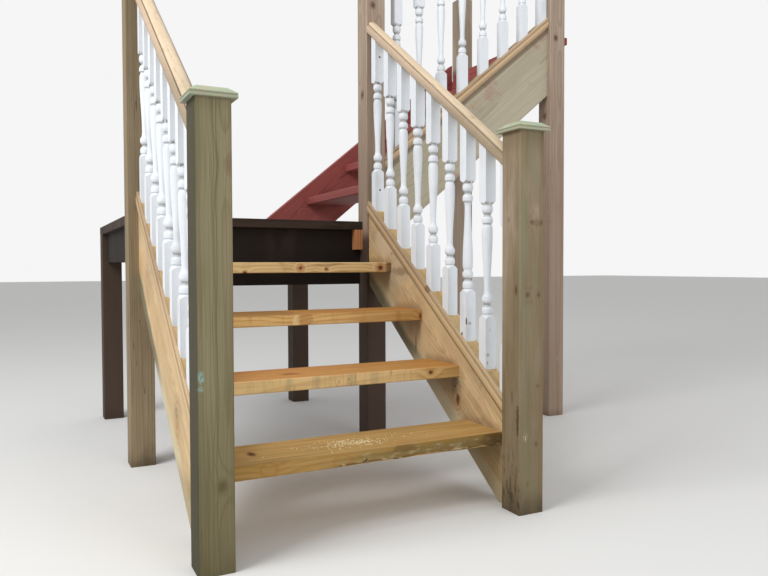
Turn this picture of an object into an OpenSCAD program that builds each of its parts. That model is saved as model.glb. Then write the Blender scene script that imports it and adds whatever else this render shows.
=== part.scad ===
// Wooden deck stairs: a lower flight of four open treads up to a quarter landing,
// then an upper flight turning right, with turned white spindles between grooved rails.
// Millimetres, +Z up. X runs along the lower treads, Y runs up the lower flight.

/* [Newels] */
// side of every square newel post
post = 95; // [80:1:110]
// arris chamfer of the posts
post_chamfer = 3; // [1:0.5:8]
// clear opening between the two bottom newels
newel_gap = 910; // [760:5:1200]
// how much further out the top newels stand than the bottom ones
top_newel_out = 15; // [0:1:24]
// gap from the back of the bottom newels to the front of the first tread
newel_to_tread = 26; // [2:1:60]
// height of a bottom newel over the handrail that it takes
bottom_newel_over_rail = 63; // [40:1:200]
// height of a top newel over the handrail that it takes
newel_over_rail = 95; // [40:5:200]
// bevel on top of the uncapped newels
top_bevel = 14; // [5:1:30]

/* [Newel caps] */
// overhang of a cap past its newel
cap_overhang = 14; // [6:1:30]
// thickness of a cap's upright edge
cap_edge = 13; // [8:1:25]
// height of the bevelled part of a cap
cap_rise = 15; // [6:1:30]
// inset of the bevelled part of a cap
cap_inset = 22; // [10:1:40]
// depth of the groove that runs round a cap's edge
cap_groove = 1.5; // [0.5:0.5:3]

/* [Lower flight] */
// height of the first tread over the floor
first_rise = 241; // [180:1:260]
// rise from tread to tread
rise = 189.5; // [160:0.5:220]
// going from tread to tread
going = 267.5; // [235:0.5:320]
// thickness of the treads
tread_thickness = 42; // [32:1:55]
// depth of the treads from front to back
tread_depth = 226; // [180:1:232]
// arris chamfer of the treads
tread_chamfer = 3; // [1:0.5:6]
// depth of the wane, where bark was, along the front of the first tread
wane_depth = 8; // [4:1:12]
// depth of the housings that take the tread ends
housing = 12; // [6:1:18]
// thickness of the stringers
stringer_thickness = 45; // [36:1:60]
// depth of the stringers square to the slope
stringer_depth = 270; // [250:1:320]
// arris chamfer along the bottom of the stringers
stringer_chamfer = 3; // [1:0.5:6]
// height of the stringers over the tread noses, square to the slope
stringer_over_nose = 58; // [40:1:80]

/* [Rails] */
// width of the handrails and base rails
rail_width = 64; // [60:1:80]
// thickness of the base rails square to the slope
base_rail_thickness = 43; // [32:1:50]
// thickness of the handrails square to the slope
handrail_thickness = 42; // [36:1:60]
// height of the handrail's underside over the tread noses, square to the slope
handrail_over_nose = 720; // [660:5:800]
// depth of the grooves that take the spindles and fillets
rail_groove = 9; // [5:1:12]
// how far the fillets lie under the lips of their groove
fillet_below_lip = 1.5; // [0.5:0.5:3]

/* [Spindles] */
// side of the square ends of a spindle
spindle = 41; // [32:1:46]
// spindles on each side of the lower flight
lower_spindle_count = 9; // [7:1:10]
// spindles on the near side of the upper flight
upper_spindle_count = 8; // [6:1:8]
// gap from the bottom newel to its nearest spindle
foot_gap = 7; // [3:1:30]
// gap from the top newel to its nearest spindle
head_gap = 27; // [5:1:50]
// gap from the tall newel to the first upper spindle
upper_foot_gap = 65; // [20:1:80]
// gap from the last upper spindle to the upper newel
upper_head_gap = 5; // [3:1:30]
// height of the bottom square over the base rail
bottom_square = 171; // [150:1:200]
// height of the turned part between the two squares
turned_length = 381; // [350:1:400]
// widest diameter of the turned part
turned_diameter = 38.5; // [28:0.5:40]
// diameter of the thin end of the long taper
taper_diameter = 22.5; // [16:0.5:28]
// right spindle, counted from the foot, that was fitted upside down; 0 for none
upside_down_spindle = 3; // [0:1:10]

/* [Landing] */
// thickness of the landing boards
landing_board_thickness = 38; // [28:1:45]
// width of a landing board
landing_board_width = 145; // [100:1:150]
// arris chamfer of the boards
board_chamfer = 2; // [1:0.5:5]
// gap between landing boards
landing_board_gap = 6; // [3:1:10]
// how far the front board oversails its beam
front_oversail = 30; // [15:1:40]
// depth of the front beam under the boards
front_beam_depth = 250; // [180:5:260]
// depth of the other landing joists
joist_depth = 145; // [120:5:220]
// thickness of beams and joists
joist_thickness = 45; // [36:1:60]
// joists between the front and the rear beam
joist_count = 3; // [1:1:4]
// width of the packing block beside the tall newel
block_width = 39; // [25:1:60]
// height of the packing block
block_height = 91; // [60:1:120]

/* [Upper flight] */
// height of the first upper tread over the landing
upper_first_rise = 198; // [170:1:220]
// rise of the upper treads
upper_rise = 207; // [170:1:215]
// going of the upper treads
upper_going = 252; // [240:1:300]
// gap from the tall newel to the first upper tread
newel_to_upper_tread = 2; // [1:1:40]
// height of the upper stringers over the tread noses, square to the slope
upper_over_nose = 50; // [30:1:70]
// how much lower the near stringer and its balustrade sit than the far stringer
near_side_drop = 22; // [0:1:28]
// height of the far upper newel over the top edge board
far_newel_over_edge = 514; // [300:1:900]
// width of the top edge board
edge_board_width = 145; // [110:1:180]

/* [Hidden] */
$fn = 48;
// extra length of a sloping bar before it is cut off plumb
slack = handrail_over_nose + stringer_depth;
// treads under the landing, and treads of the upper flight
lower_treads = 4;
upper_treads = 4;
// lower flight
angle = atan(rise / going);
slope = rise / going;
centre_x = newel_gap / 2 + post / 2;
inner_x = centre_x - stringer_thickness / 2;
newel_back = -newel_to_tread;
newel_front = newel_back - post;
top_inner_x = newel_gap / 2 + top_newel_out;
top_outer_x = top_inner_x + post;
landing_front = lower_treads * going;
top_front = landing_front - post / 2;
top_back = top_front + post;
landing_top = first_rise + lower_treads * rise;
boards_bottom = landing_top - landing_board_thickness;
spindle_first = newel_back + foot_gap + spindle / 2;
spindle_last = top_front - head_gap - spindle / 2;
spindle_step = (spindle_last - spindle_first) / (lower_spindle_count - 1);
rail_over_nose = stringer_over_nose + base_rail_thickness;
bottom_newel_height = nose_z(newel_back)
    + (handrail_over_nose + handrail_thickness) / cos(angle) + bottom_newel_over_rail;
left_top_height = nose_z(top_front) + (handrail_over_nose + handrail_thickness) / cos(angle)
    + newel_over_rail;
// upper flight
upper_angle = atan(upper_rise / upper_going);
upper_slope = upper_rise / upper_going;
near_y = landing_front;
near_inner_y = near_y + stringer_thickness / 2;
clear_width = 2 * inner_x;
far_inner_y = near_inner_y + clear_width;
far_y = far_inner_y + stringer_thickness / 2;
upper_start = top_outer_x + newel_to_upper_tread;
upper_first_z = landing_top + upper_first_rise;
upper_edge_x = upper_start + upper_treads * upper_going;
upper_edge_z = upper_first_z + upper_treads * upper_rise;
upper_newel_x = upper_edge_x - post / 2;
edge_beam_back = upper_edge_x + post / 2;
edge_beam_front = edge_beam_back - joist_thickness;
far_newel_x = edge_beam_back + post / 2;
head_reach = max(edge_board_width, far_newel_x + post / 2 - upper_edge_x);
upper_spindle_first = top_outer_x + upper_foot_gap + spindle / 2;
upper_spindle_last = upper_newel_x - upper_head_gap - spindle / 2;
upper_spindle_step = (upper_spindle_last - upper_spindle_first) / (upper_spindle_count - 1);
upper_rail_over_nose = upper_over_nose + base_rail_thickness;
tall_height = near_line_z(top_outer_x)
    + (handrail_over_nose + handrail_thickness) / cos(upper_angle) + newel_over_rail;
upper_near_height = near_line_z(upper_newel_x)
    + (handrail_over_nose + handrail_thickness) / cos(upper_angle) + newel_over_rail;
far_newel_height = upper_edge_z + far_newel_over_edge;
// landing
rear_post_y = far_y - post / 2;
beam_front = landing_front + front_oversail;
beam_back = beam_front + joist_thickness;
rear_beam_y = far_y - joist_thickness / 2;
landing_span = far_y + post / 2 - landing_front + landing_board_gap;
board_rows = round(landing_span / (landing_board_width + landing_board_gap));
board_pitch = landing_span / board_rows;
board_width = board_pitch - landing_board_gap;
// the origin lies on the floor, under the middle of the whole stair
origin_x = (upper_edge_x + head_reach - top_outer_x) / 2;
origin_y = (newel_front - cap_overhang + far_y + post / 2) / 2;
// run of a newel's top bevel for its rise
bevel_spread = 1.6;
// rail section: quirks beside the raised crown or lip, and how far the shoulder drops
quirk = 2.2;
side_round = 5;
shoulder_drop = 13;
// half width of a handrail's crown, as a share of the rail's half width
crown_share = 0.6;
// half width of the square end where the cone nips it, as a share of its side
nip_share = 0.42;
// places along the turned part, as shares of its length from either end
end_neck = 0.013;
pair_neck = 0.092;
cup_lip = 0.166;
// and from its lower end alone
flare_end = 0.219;
taper_end = 0.752;
shoulder_end = 0.811;
// radii as shares of the widest: necks, a bead's outer edge, the flare's foot and the taper's top
pair_neck_share = 0.56;
end_neck_share = 0.83;
head_neck_share = 0.78;
lip_share = 0.96;
flare_share = 0.84;
shoulder_share = 0.97;
// share of a bead's length over which it swells
swell_share = 0.6;
// steps of a bead, flare or shoulder, and of the long taper
bead_steps = 6;
taper_steps = 8;
// flare of the cone that nips the corners of the square ends
nip_flare = 0.9;
// reach of the turned part into the square ends
bond = 1;
// clearance where a tread is notched round a newel
notch_gap = 1;
// outline of the wane: shares of the clear width, and shares of its depth
wane_outline = [[-0.11, -0.1], [-0.08, 0.5], [0.02, 0.7], [0.1, 0.4], [0.17, 1], [0.27, 0.8],
    [0.33, 0.5], [0.42, 0.9], [0.47, -0.1]];

// height of the line through the lower tread noses at y
function nose_z(y) = first_rise + slope * y;

// height at x of the line that the near side of the upper flight is set out from
function near_line_z(x) = upper_first_z - near_side_drop + upper_slope * (x - upper_start);

// moves a piece from the lower flight's own origin to the middle of the whole stair
module place() {
    translate([-origin_x, -origin_y, 0])
        children();
}

// square section with chamfered arrises
module post_section(side, chamfer) {
    a = side / 2;
    b = a - chamfer;
    polygon([[-a, -b], [-b, -a], [b, -a], [a, -b], [a, b], [b, a], [-b, a], [-a, b]]);
}

// plain post up to the underside of a cap, a board or a bevel
module plain_post(height) {
    linear_extrude(height)
        post_section(post, post_chamfer);
}

// prism that bevels two sides of a post's top
module bevel_prism(height) {
    top_half = post / 2 - top_bevel * bevel_spread;
    outer_z = height - (post - top_half) / bevel_spread;
    rotate([90, 0, 0])
        translate([0, 0, -post])
            linear_extrude(2 * post)
                polygon([[-post, -post], [post, -post], [post, outer_z], [top_half, height],
                    [-top_half, height], [-post, outer_z]]);
}

// post with a four-way bevel on its top
module bevelled_post(height) {
    intersection() {
        plain_post(height + post);
        bevel_prism(height);
        rotate([0, 0, 90])
            bevel_prism(height);
    }
}

// prism with a cap's edge profile: grooved edge under a bevelled top
module cap_prism() {
    half = post / 2 + cap_overhang;
    groove_z = cap_edge * 2 / 3;
    edge = [
        [half, 0], [half, groove_z - cap_groove], [half - cap_groove, groove_z],
        [half, groove_z + cap_groove], [half, cap_edge], [half - cap_inset, cap_edge + cap_rise]
    ];
    mirrored = [for (i = [len(edge) - 1 : -1 : 0]) [-edge[i][0], edge[i][1]]];
    rotate([90, 0, 0])
        translate([0, 0, -2 * half])
            linear_extrude(4 * half)
                polygon(concat(edge, mirrored));
}

// cap with mitred corners
module cap() {
    intersection() {
        cap_prism();
        rotate([0, 0, 90])
            cap_prism();
    }
}

// lays a section along the lower slope; its y is measured square to the slope
module along_slope(from_y, to_y) {
    low = (slack - from_y) / cos(angle);
    high = (to_y + slack) / cos(angle);
    intersection() {
        translate([0, 0, first_rise])
            rotate([90 + angle, 0, 0])
                translate([0, 0, -high])
                    linear_extrude(high + low)
                        children();
        translate([-4 * post, from_y, 0])
            cube([8 * post, to_y - from_y, 4 * handrail_over_nose]);
    }
}

// lays a section along the upper slope, bounded below at floor_z
module along_upper(from_x, to_x, floor_z) {
    low = (slack + upper_start - from_x) / cos(upper_angle);
    high = (to_x - upper_start + slack) / cos(upper_angle);
    intersection() {
        translate([upper_start, 0, upper_first_z])
            rotate([0, 0, -90])
                rotate([90 + upper_angle, 0, 0])
                    translate([0, 0, -high])
                        linear_extrude(high + low)
                            children();
        translate([from_x, -4 * post, floor_z])
            cube([to_x - from_x, 8 * post, 6 * handrail_over_nose]);
    }
}

// section of a stringer, its bottom arrises chamfered
module stringer_section(over_nose) {
    w = stringer_thickness / 2;
    c = stringer_chamfer;
    translate([0, over_nose - stringer_depth])
        polygon([[-w, c], [c - w, 0], [w - c, 0], [w, c], [w, stringer_depth],
            [-w, stringer_depth]]);
}

// section of a base rail: rounded flanks, quirked lips and a groove for the spindles
module base_rail_section(over_nose) {
    w = rail_width / 2;
    g = spindle / 2;
    t = base_rail_thickness;
    shoulder = t - shoulder_drop;
    lip = (w + g) / 2;
    half = [
        [g, t - rail_groove], [g, t], [lip, t], [lip + quirk, t - quirk],
        [lip + quirk, shoulder + 2 * quirk], [lip + quirk / 2, shoulder + quirk],
        [lip + 2 * quirk, shoulder], [w - quirk / 2, shoulder - side_round / 2],
        [w, shoulder - 1.6 * side_round], [w, side_round], [w - side_round / 2, quirk],
        [w - side_round, 0]
    ];
    mirrored = [for (i = [len(half) - 1 : -1 : 0]) [-half[i][0], half[i][1]]];
    translate([0, over_nose])
        polygon(concat(half, mirrored));
}

// section of a handrail: groove underneath, rounded flanks and a quirked, domed crown
module handrail_section() {
    w = rail_width / 2;
    g = spindle / 2;
    t = handrail_thickness;
    crown = w * crown_share;
    shoulder = t - shoulder_drop;
    half = [
        [g, rail_groove], [g, 0], [w - side_round, 0], [w - quirk, quirk], [w, side_round],
        [w, shoulder - 2 * side_round], [w - quirk, shoulder - side_round],
        [w - 1.4 * side_round, shoulder - quirk], [crown + quirk, shoulder],
        [crown, shoulder - quirk], [crown, t - 3 * quirk], [crown - quirk, t - 1.6 * quirk],
        [crown * 0.6, t - 0.5 * quirk], [crown * 0.25, t]
    ];
    mirrored = [for (i = [len(half) - 1 : -1 : 0]) [-half[i][0], half[i][1]]];
    translate([0, handrail_over_nose])
        polygon(concat(half, mirrored));
}

// fillet lying in the groove of a base rail
module base_fillet_section(over_nose) {
    depth = rail_groove - fillet_below_lip;
    translate([-spindle / 2, over_nose + base_rail_thickness - rail_groove])
        square([spindle, depth]);
}

// fillet lying in the groove of a handrail
module hand_fillet_section() {
    translate([-spindle / 2, handrail_over_nose + fillet_below_lip])
        square([spindle, rail_groove - fillet_below_lip]);
}

// bead that swells from a neck at height inner, then rounds off a little to height outer
function bead(inner, outer, neck, wide) =
    [for (i = [1 : bead_steps])
        let (u = i / bead_steps, past = (u - swell_share) / (1 - swell_share))
        [past < 0 ? neck + (wide - neck) * sin(90 * u / swell_share)
            : wide * (1 + (lip_share - 1) * pow(past, 2)),
            inner + (outer - inner) * u]];

// the same points from last to first
function turned_round(points) = [for (i = [len(points) - 1 : -1 : 0]) points[i]];

// ball and cup with a neck between, from an end of the turned part to the cup's lip
function bead_pair(l, wide) =
    let (neck = wide * pair_neck_share, end = wide * end_neck_share)
    concat(
        [[end, -bond], [end, end_neck * l]],
        turned_round(bead(pair_neck * l, end_neck * l, neck, wide)),
        [[neck, pair_neck * l]],
        bead(pair_neck * l, cup_lip * l, neck, wide)
    );

// flare that narrows from wide at low to thin at high
function flare(low, high, wide, thin) =
    [for (i = [0 : bead_steps])
        [wide + (thin - wide) * sin(90 * i / bead_steps), low + (high - low) * i / bead_steps]];

// long taper that opens from thin at low to wide at high
function long_taper(low, high, thin, wide) =
    [for (i = [1 : taper_steps])
        [thin + (wide - thin) * (1 - cos(180 * i / taper_steps)) / 2,
            low + (high - low) * i / taper_steps]];

// shoulder that rounds off from wide at low to a neck at high
function shoulder(low, high, wide, neck) =
    [for (i = [1 : bead_steps])
        [neck + (wide - neck) * cos(90 * i / bead_steps),
            low + (high - low) * sin(90 * i / bead_steps)]];

// outline of the turned part: ball and cup, flare, long taper, shoulder, cup and ball
function turned_outline() =
    let (l = turned_length, wide = turned_diameter / 2, thin = taper_diameter / 2,
        full = wide * shoulder_share, neck = wide * head_neck_share, pair = bead_pair(l, wide))
    concat(
        [[0, -bond]], pair,
        flare(cup_lip * l, flare_end * l, wide * flare_share, thin),
        long_taper(flare_end * l, taper_end * l, thin, full),
        shoulder(taper_end * l, shoulder_end * l, full, neck),
        [[neck, (1 - cup_lip) * l]],
        [for (point = turned_round(pair)) [point[0], l - point[1]]],
        [[0, l + bond]]
    );

// square end of a spindle, its corners nipped by a cone that opens away from nip_z
module square_end(outline, nip_z, turn) {
    reach = bottom_square + slack;
    nipped = spindle * nip_share;
    intersection() {
        rotate([90, 0, 90])
            translate([0, 0, -spindle / 2])
                linear_extrude(spindle)
                    polygon(outline);
        translate([0, 0, nip_z])
            rotate([turn, 0, 0])
                cylinder(h = reach, r1 = nipped, r2 = nipped + reach * nip_flare);
    }
}

// turned spindle; foot and head are the heights of the two cuts on its axis
module turned_spindle(foot, head, square_top, cut_slope, upside_down) {
    h = spindle / 2;
    turned_top = square_top + turned_length;
    square_end([[-h, foot - cut_slope * h], [h, foot + cut_slope * h],
        [h, square_top], [-h, square_top]], square_top, 180);
    translate([0, 0, square_top + turned_length / 2])
        rotate([upside_down ? 180 : 0, 0, 0])
            translate([0, 0, -turned_length / 2])
                rotate_extrude()
                    polygon(turned_outline());
    square_end([[-h, turned_top], [h, turned_top],
        [h, head + cut_slope * h], [-h, head - cut_slope * h]], turned_top, 0);
}

// one lower spindle at y
module lower_spindle(y, upside_down) {
    rail_top = nose_z(y) + rail_over_nose / cos(angle);
    translate([0, y, 0])
        turned_spindle(rail_top - rail_groove / cos(angle),
            nose_z(y) + (handrail_over_nose + rail_groove) / cos(angle),
            rail_top + bottom_square, slope, upside_down);
}

// one upper spindle at x
module upper_spindle(x) {
    rail_top = near_line_z(x) + upper_rail_over_nose / cos(upper_angle);
    translate([x, near_y, 0])
        rotate([0, 0, -90])
            turned_spindle(rail_top - rail_groove / cos(upper_angle),
                near_line_z(x) + (handrail_over_nose + rail_groove) / cos(upper_angle),
                rail_top + bottom_square, upper_slope, false);
}

// tread with its length along x, centred, front top edge at the origin
module tread_body(length, depth) {
    c = tread_chamfer;
    translate([-length / 2, 0, 0])
        rotate([90, 0, 90])
            linear_extrude(length)
                polygon([[c, 0], [depth - c, 0], [depth, -c], [depth, c - tread_thickness],
                    [depth - c, -tread_thickness], [c, -tread_thickness],
                    [0, c - tread_thickness], [0, -c]]);
}

// body of lower tread k in its place
module lower_tread_body(k) {
    translate([0, (k - 1) * going, first_rise + (k - 1) * rise])
        tread_body(clear_width + 2 * housing, tread_depth);
}

// body of upper tread k in its place
module upper_tread_body(k) {
    translate([upper_start + (k - 1) * upper_going, near_inner_y + clear_width / 2,
            upper_first_z + (k - 1) * upper_rise])
        rotate([0, 0, -90])
            tread_body(clear_width + 2 * housing, tread_depth);
}

// room for a newel centred at x and y
module newel_room(x, y) {
    side = post + 2 * notch_gap;
    translate([x - side / 2, y - side / 2, 0])
        cube([side, side, upper_edge_z]);
}

// lower tread k, notched round the top newels where it reaches them
module lower_tread(k) {
    color("Peru")
        difference() {
            lower_tread_body(k);
            for (side = [-1, 1])
                newel_room(side * (top_inner_x + post / 2), landing_front);
        }
}

// upper tread k, notched round the near newel where it reaches it
module upper_tread(k) {
    color("Firebrick")
        difference() {
            upper_tread_body(k);
            newel_room(upper_edge_x, near_y);
        }
}

// wane along the lower front arris of the first tread
module wane() {
    translate([0, 0, first_rise - tread_thickness])
        rotate([45, 0, 0])
            translate([0, 0, -tread_thickness])
                linear_extrude(2 * tread_thickness)
                    polygon([for (p = wane_outline) [p[0] * clear_width, p[1] * wane_depth]]);
}

module tread_1() {
    place()
        difference() {
            lower_tread(1);
            wane();
        }
}

module tread_2() {
    place()
        lower_tread(2);
}

module tread_3() {
    place()
        lower_tread(3);
}

module tread_4() {
    place()
        lower_tread(4);
}

module upper_tread_1() {
    place()
        upper_tread(1);
}

module upper_tread_2() {
    place()
        upper_tread(2);
}

module upper_tread_3() {
    place()
        upper_tread(3);
}

module upper_tread_4() {
    place()
        upper_tread(4);
}

module lower_stringer() {
    color("BurlyWood")
        difference() {
            translate([centre_x, 0, 0])
                along_slope(newel_back, top_front)
                    stringer_section(stringer_over_nose);
            for (k = [1 : lower_treads])
                lower_tread_body(k);
        }
}

module right_stringer() {
    place()
        lower_stringer();
}

module left_stringer() {
    place()
        mirror([1, 0, 0])
            lower_stringer();
}

module right_bottom_newel() {
    place()
        color("Tan")
            translate([centre_x, newel_front + post / 2, 0])
                plain_post(bottom_newel_height);
}

module left_bottom_newel() {
    place()
        color("Tan")
            translate([-centre_x, newel_front + post / 2, 0])
                plain_post(bottom_newel_height);
}

module right_newel_cap() {
    place()
        color("DarkSeaGreen")
            translate([centre_x, newel_front + post / 2, bottom_newel_height])
                cap();
}

module left_newel_cap() {
    place()
        color("DarkSeaGreen")
            translate([-centre_x, newel_front + post / 2, bottom_newel_height])
                cap();
}

module right_top_newel() {
    place()
        color("RosyBrown")
            translate([top_inner_x + post / 2, landing_front, 0])
                bevelled_post(tall_height);
}

module left_top_newel() {
    place()
        color("RosyBrown")
            translate([-top_inner_x - post / 2, landing_front, 0])
                bevelled_post(left_top_height);
}

module lower_base_rail() {
    color("Wheat")
        translate([centre_x, 0, 0])
            along_slope(newel_back, top_front)
                base_rail_section(stringer_over_nose);
}

module right_base_rail() {
    place()
        lower_base_rail();
}

module left_base_rail() {
    place()
        mirror([1, 0, 0])
            lower_base_rail();
}

module lower_handrail() {
    color("Bisque")
        translate([centre_x, 0, 0])
            along_slope(newel_back, top_front)
                handrail_section();
}

module right_handrail() {
    place()
        lower_handrail();
}

module left_handrail() {
    place()
        mirror([1, 0, 0])
            lower_handrail();
}

module lower_spindles(upside_down) {
    color("White")
        for (i = [1 : lower_spindle_count])
            translate([centre_x, 0, 0])
                lower_spindle(spindle_first + (i - 1) * spindle_step, i == upside_down);
}

module right_spindles() {
    place()
        lower_spindles(upside_down_spindle);
}

module left_spindles() {
    place()
        mirror([1, 0, 0])
            lower_spindles(0);
}

module lower_fillets() {
    ends = concat([newel_back - spindle / 2],
        [for (i = [0 : lower_spindle_count - 1]) spindle_first + i * spindle_step],
        [top_front + spindle / 2]);
    color("Khaki")
        translate([centre_x, 0, 0])
            for (i = [0 : len(ends) - 2]) {
                along_slope(ends[i] + spindle / 2, ends[i + 1] - spindle / 2)
                    base_fillet_section(stringer_over_nose);
                along_slope(ends[i] + spindle / 2, ends[i + 1] - spindle / 2)
                    hand_fillet_section();
            }
}

module right_fillets() {
    place()
        lower_fillets();
}

module left_fillets() {
    place()
        mirror([1, 0, 0])
            lower_fillets();
}

// board along x with chamfered arrises, its lower front corner at the origin
module board(length, width) {
    c = board_chamfer;
    t = landing_board_thickness;
    rotate([90, 0, 90])
        linear_extrude(length)
            polygon([[0, c], [c, 0], [width - c, 0], [width, c], [width, t - c], [width - c, t],
                [c, t], [0, t - c]]);
}

// front board, notched round the two top newels
module landing_front_board() {
    place()
        color("DimGray")
            difference() {
                translate([-top_outer_x, landing_front, boards_bottom])
                    board(2 * top_outer_x, board_width);
                for (side = [-1, 1])
                    translate([side * (top_inner_x + post) - post, top_front, 0])
                        cube([2 * post, post, upper_edge_z]);
            }
}

module landing_boards() {
    place()
        color("DimGray")
            for (row = [1 : board_rows - 1])
                translate([-top_outer_x, landing_front + row * board_pitch, boards_bottom])
                    board(2 * top_outer_x, board_width);
}

module landing_front_beam() {
    place()
        color("SaddleBrown")
            translate([-top_inner_x, beam_front, boards_bottom - front_beam_depth])
                cube([2 * top_inner_x, joist_thickness, front_beam_depth]);
}

module landing_rear_beam() {
    place()
        color("SaddleBrown")
            translate([-top_inner_x, rear_beam_y, boards_bottom - joist_depth])
                cube([2 * top_inner_x, joist_thickness, joist_depth]);
}

module side_beam() {
    color("SaddleBrown")
        translate([top_inner_x + (post - joist_thickness) / 2, top_back,
                boards_bottom - joist_depth])
            cube([joist_thickness, rear_post_y - top_back, joist_depth]);
}

module landing_right_beam() {
    place()
        side_beam();
}

module landing_left_beam() {
    place()
        mirror([1, 0, 0])
            side_beam();
}

module landing_joists() {
    spacing = 2 * top_inner_x / (joist_count + 1);
    place()
        color("SaddleBrown")
            for (i = [1 : joist_count])
                translate([-top_inner_x + i * spacing - joist_thickness / 2, beam_back,
                        boards_bottom - joist_depth])
                    cube([joist_thickness, rear_beam_y - beam_back, joist_depth]);
}

module landing_right_post() {
    place()
        color("SaddleBrown")
            translate([top_inner_x + post / 2, far_y, 0])
                plain_post(boards_bottom);
}

module landing_left_post() {
    place()
        color("SaddleBrown")
            translate([-top_inner_x - post / 2, far_y, 0])
                plain_post(boards_bottom);
}

// short block between the front beam and the nosing, beside the tall newel
module packing_block() {
    place()
        color("Sienna")
            translate([top_inner_x - block_width, landing_front, boards_bottom - block_height])
                cube([block_width, front_oversail, block_height]);
}

// stringer of the upper flight on the centre line y, lowered by drop
module upper_stringer(y, drop, from_x, to_x, floor_z) {
    difference() {
        translate([0, y, -drop])
            along_upper(from_x, to_x, floor_z)
                stringer_section(upper_over_nose);
        for (k = [1 : upper_treads])
            upper_tread_body(k);
    }
}

module upper_near_stringer() {
    place()
        color("Tan")
            upper_stringer(near_y, near_side_drop, top_outer_x, upper_newel_x, 0);
}

module upper_far_stringer() {
    place()
        color("Firebrick")
            upper_stringer(far_y, 0, -top_inner_x, edge_beam_front, landing_top);
}

module upper_base_rail() {
    place()
        color("Wheat")
            translate([0, near_y, -near_side_drop])
                along_upper(top_outer_x, upper_newel_x, 0)
                    base_rail_section(upper_over_nose);
}

module upper_handrail() {
    place()
        color("Bisque")
            translate([0, near_y, -near_side_drop])
                along_upper(top_outer_x, upper_newel_x, 0)
                    handrail_section();
}

module upper_spindles() {
    place()
        color("White")
            for (i = [0 : upper_spindle_count - 1])
                upper_spindle(upper_spindle_first + i * upper_spindle_step);
}

module upper_fillets() {
    ends = concat([top_outer_x - spindle / 2],
        [for (i = [0 : upper_spindle_count - 1]) upper_spindle_first + i * upper_spindle_step],
        [upper_newel_x + spindle / 2]);
    place()
        color("Khaki")
            translate([0, near_y, -near_side_drop])
                for (i = [0 : len(ends) - 2]) {
                    along_upper(ends[i] + spindle / 2, ends[i + 1] - spindle / 2, 0)
                        base_fillet_section(upper_over_nose);
                    along_upper(ends[i] + spindle / 2, ends[i + 1] - spindle / 2, 0)
                        hand_fillet_section();
                }
}

module upper_near_newel() {
    place()
        color("Tan")
            translate([upper_edge_x, near_y, 0])
                bevelled_post(upper_near_height);
}

// newel behind the top edge beam
module upper_far_newel() {
    place()
        color("Tan")
            translate([far_newel_x, far_y, 0])
                bevelled_post(far_newel_height);
}

// beam from the near newel to past the far stringer, in front of the far newel
module upper_edge_beam() {
    place()
        color("Firebrick")
            translate([edge_beam_front, near_y + post / 2,
                    upper_edge_z - landing_board_thickness - front_beam_depth])
                cube([joist_thickness, far_y - near_y, front_beam_depth]);
}

module upper_edge_board() {
    place()
        color("Firebrick")
            translate([upper_edge_x + edge_board_width, near_y + post / 2,
                    upper_edge_z - landing_board_thickness])
                rotate([0, 0, 90])
                    board(far_y - near_y - post, edge_board_width);
}

left_bottom_newel();
right_bottom_newel();
left_newel_cap();
right_newel_cap();
left_top_newel();
right_top_newel();
left_stringer();
right_stringer();
tread_1();
tread_2();
tread_3();
tread_4();
left_base_rail();
right_base_rail();
left_handrail();
right_handrail();
left_spindles();
right_spindles();
left_fillets();
right_fillets();
landing_front_board();
landing_boards();
landing_front_beam();
landing_rear_beam();
landing_left_beam();
landing_right_beam();
landing_joists();
landing_left_post();
landing_right_post();
packing_block();
upper_near_stringer();
upper_far_stringer();
upper_tread_1();
upper_tread_2();
upper_tread_3();
upper_tread_4();
upper_base_rail();
upper_handrail();
upper_spindles();
upper_fillets();
upper_near_newel();
upper_far_newel();
upper_edge_beam();
upper_edge_board();
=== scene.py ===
"""Dresses the wooden deck stairs: grain, knots, stain, paint and wear on every timber, with the
deck screws, the spindle screws and the sawdust that lie on them, and a plain studio."""

import math
import random
from collections import namedtuple

import bmesh
import bpy
from bpy.props import FloatProperty, FloatVectorProperty, IntProperty, PointerProperty
from mathutils import Matrix, Vector


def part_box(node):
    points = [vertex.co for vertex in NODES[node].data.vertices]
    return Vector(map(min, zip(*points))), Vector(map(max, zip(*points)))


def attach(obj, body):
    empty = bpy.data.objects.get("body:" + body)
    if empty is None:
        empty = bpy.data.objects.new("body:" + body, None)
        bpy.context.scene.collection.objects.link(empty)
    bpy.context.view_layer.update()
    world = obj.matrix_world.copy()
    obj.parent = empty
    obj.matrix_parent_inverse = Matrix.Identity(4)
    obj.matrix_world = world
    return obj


bl_info = {
    "name": "Deck stairs",
    "version": (1, 0, 0),
    "blender": (4, 5, 0),
    "location": "View3D > Sidebar > Deck stairs",
    "description": "Dresses a timber deck stair with grain, paint, screws and sawdust",
    "category": "Object",
}

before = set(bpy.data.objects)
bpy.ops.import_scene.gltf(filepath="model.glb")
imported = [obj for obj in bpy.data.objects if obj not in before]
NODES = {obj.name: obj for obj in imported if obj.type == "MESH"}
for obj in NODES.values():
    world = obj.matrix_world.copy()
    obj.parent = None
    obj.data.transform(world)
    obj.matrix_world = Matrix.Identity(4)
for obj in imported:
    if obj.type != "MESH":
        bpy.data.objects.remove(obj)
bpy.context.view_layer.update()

# directions of the stair
ACROSS = Vector((1, 0, 0))
BACK = Vector((0, 1, 0))
UP = Vector((0, 0, 1))


def middle(node):
    low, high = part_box(node)
    return (low + high) / 2


def step_between(first, last, steps):
    """Rise and run from one tread to the next."""
    return (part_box(last)[0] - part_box(first)[0]) / steps


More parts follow.
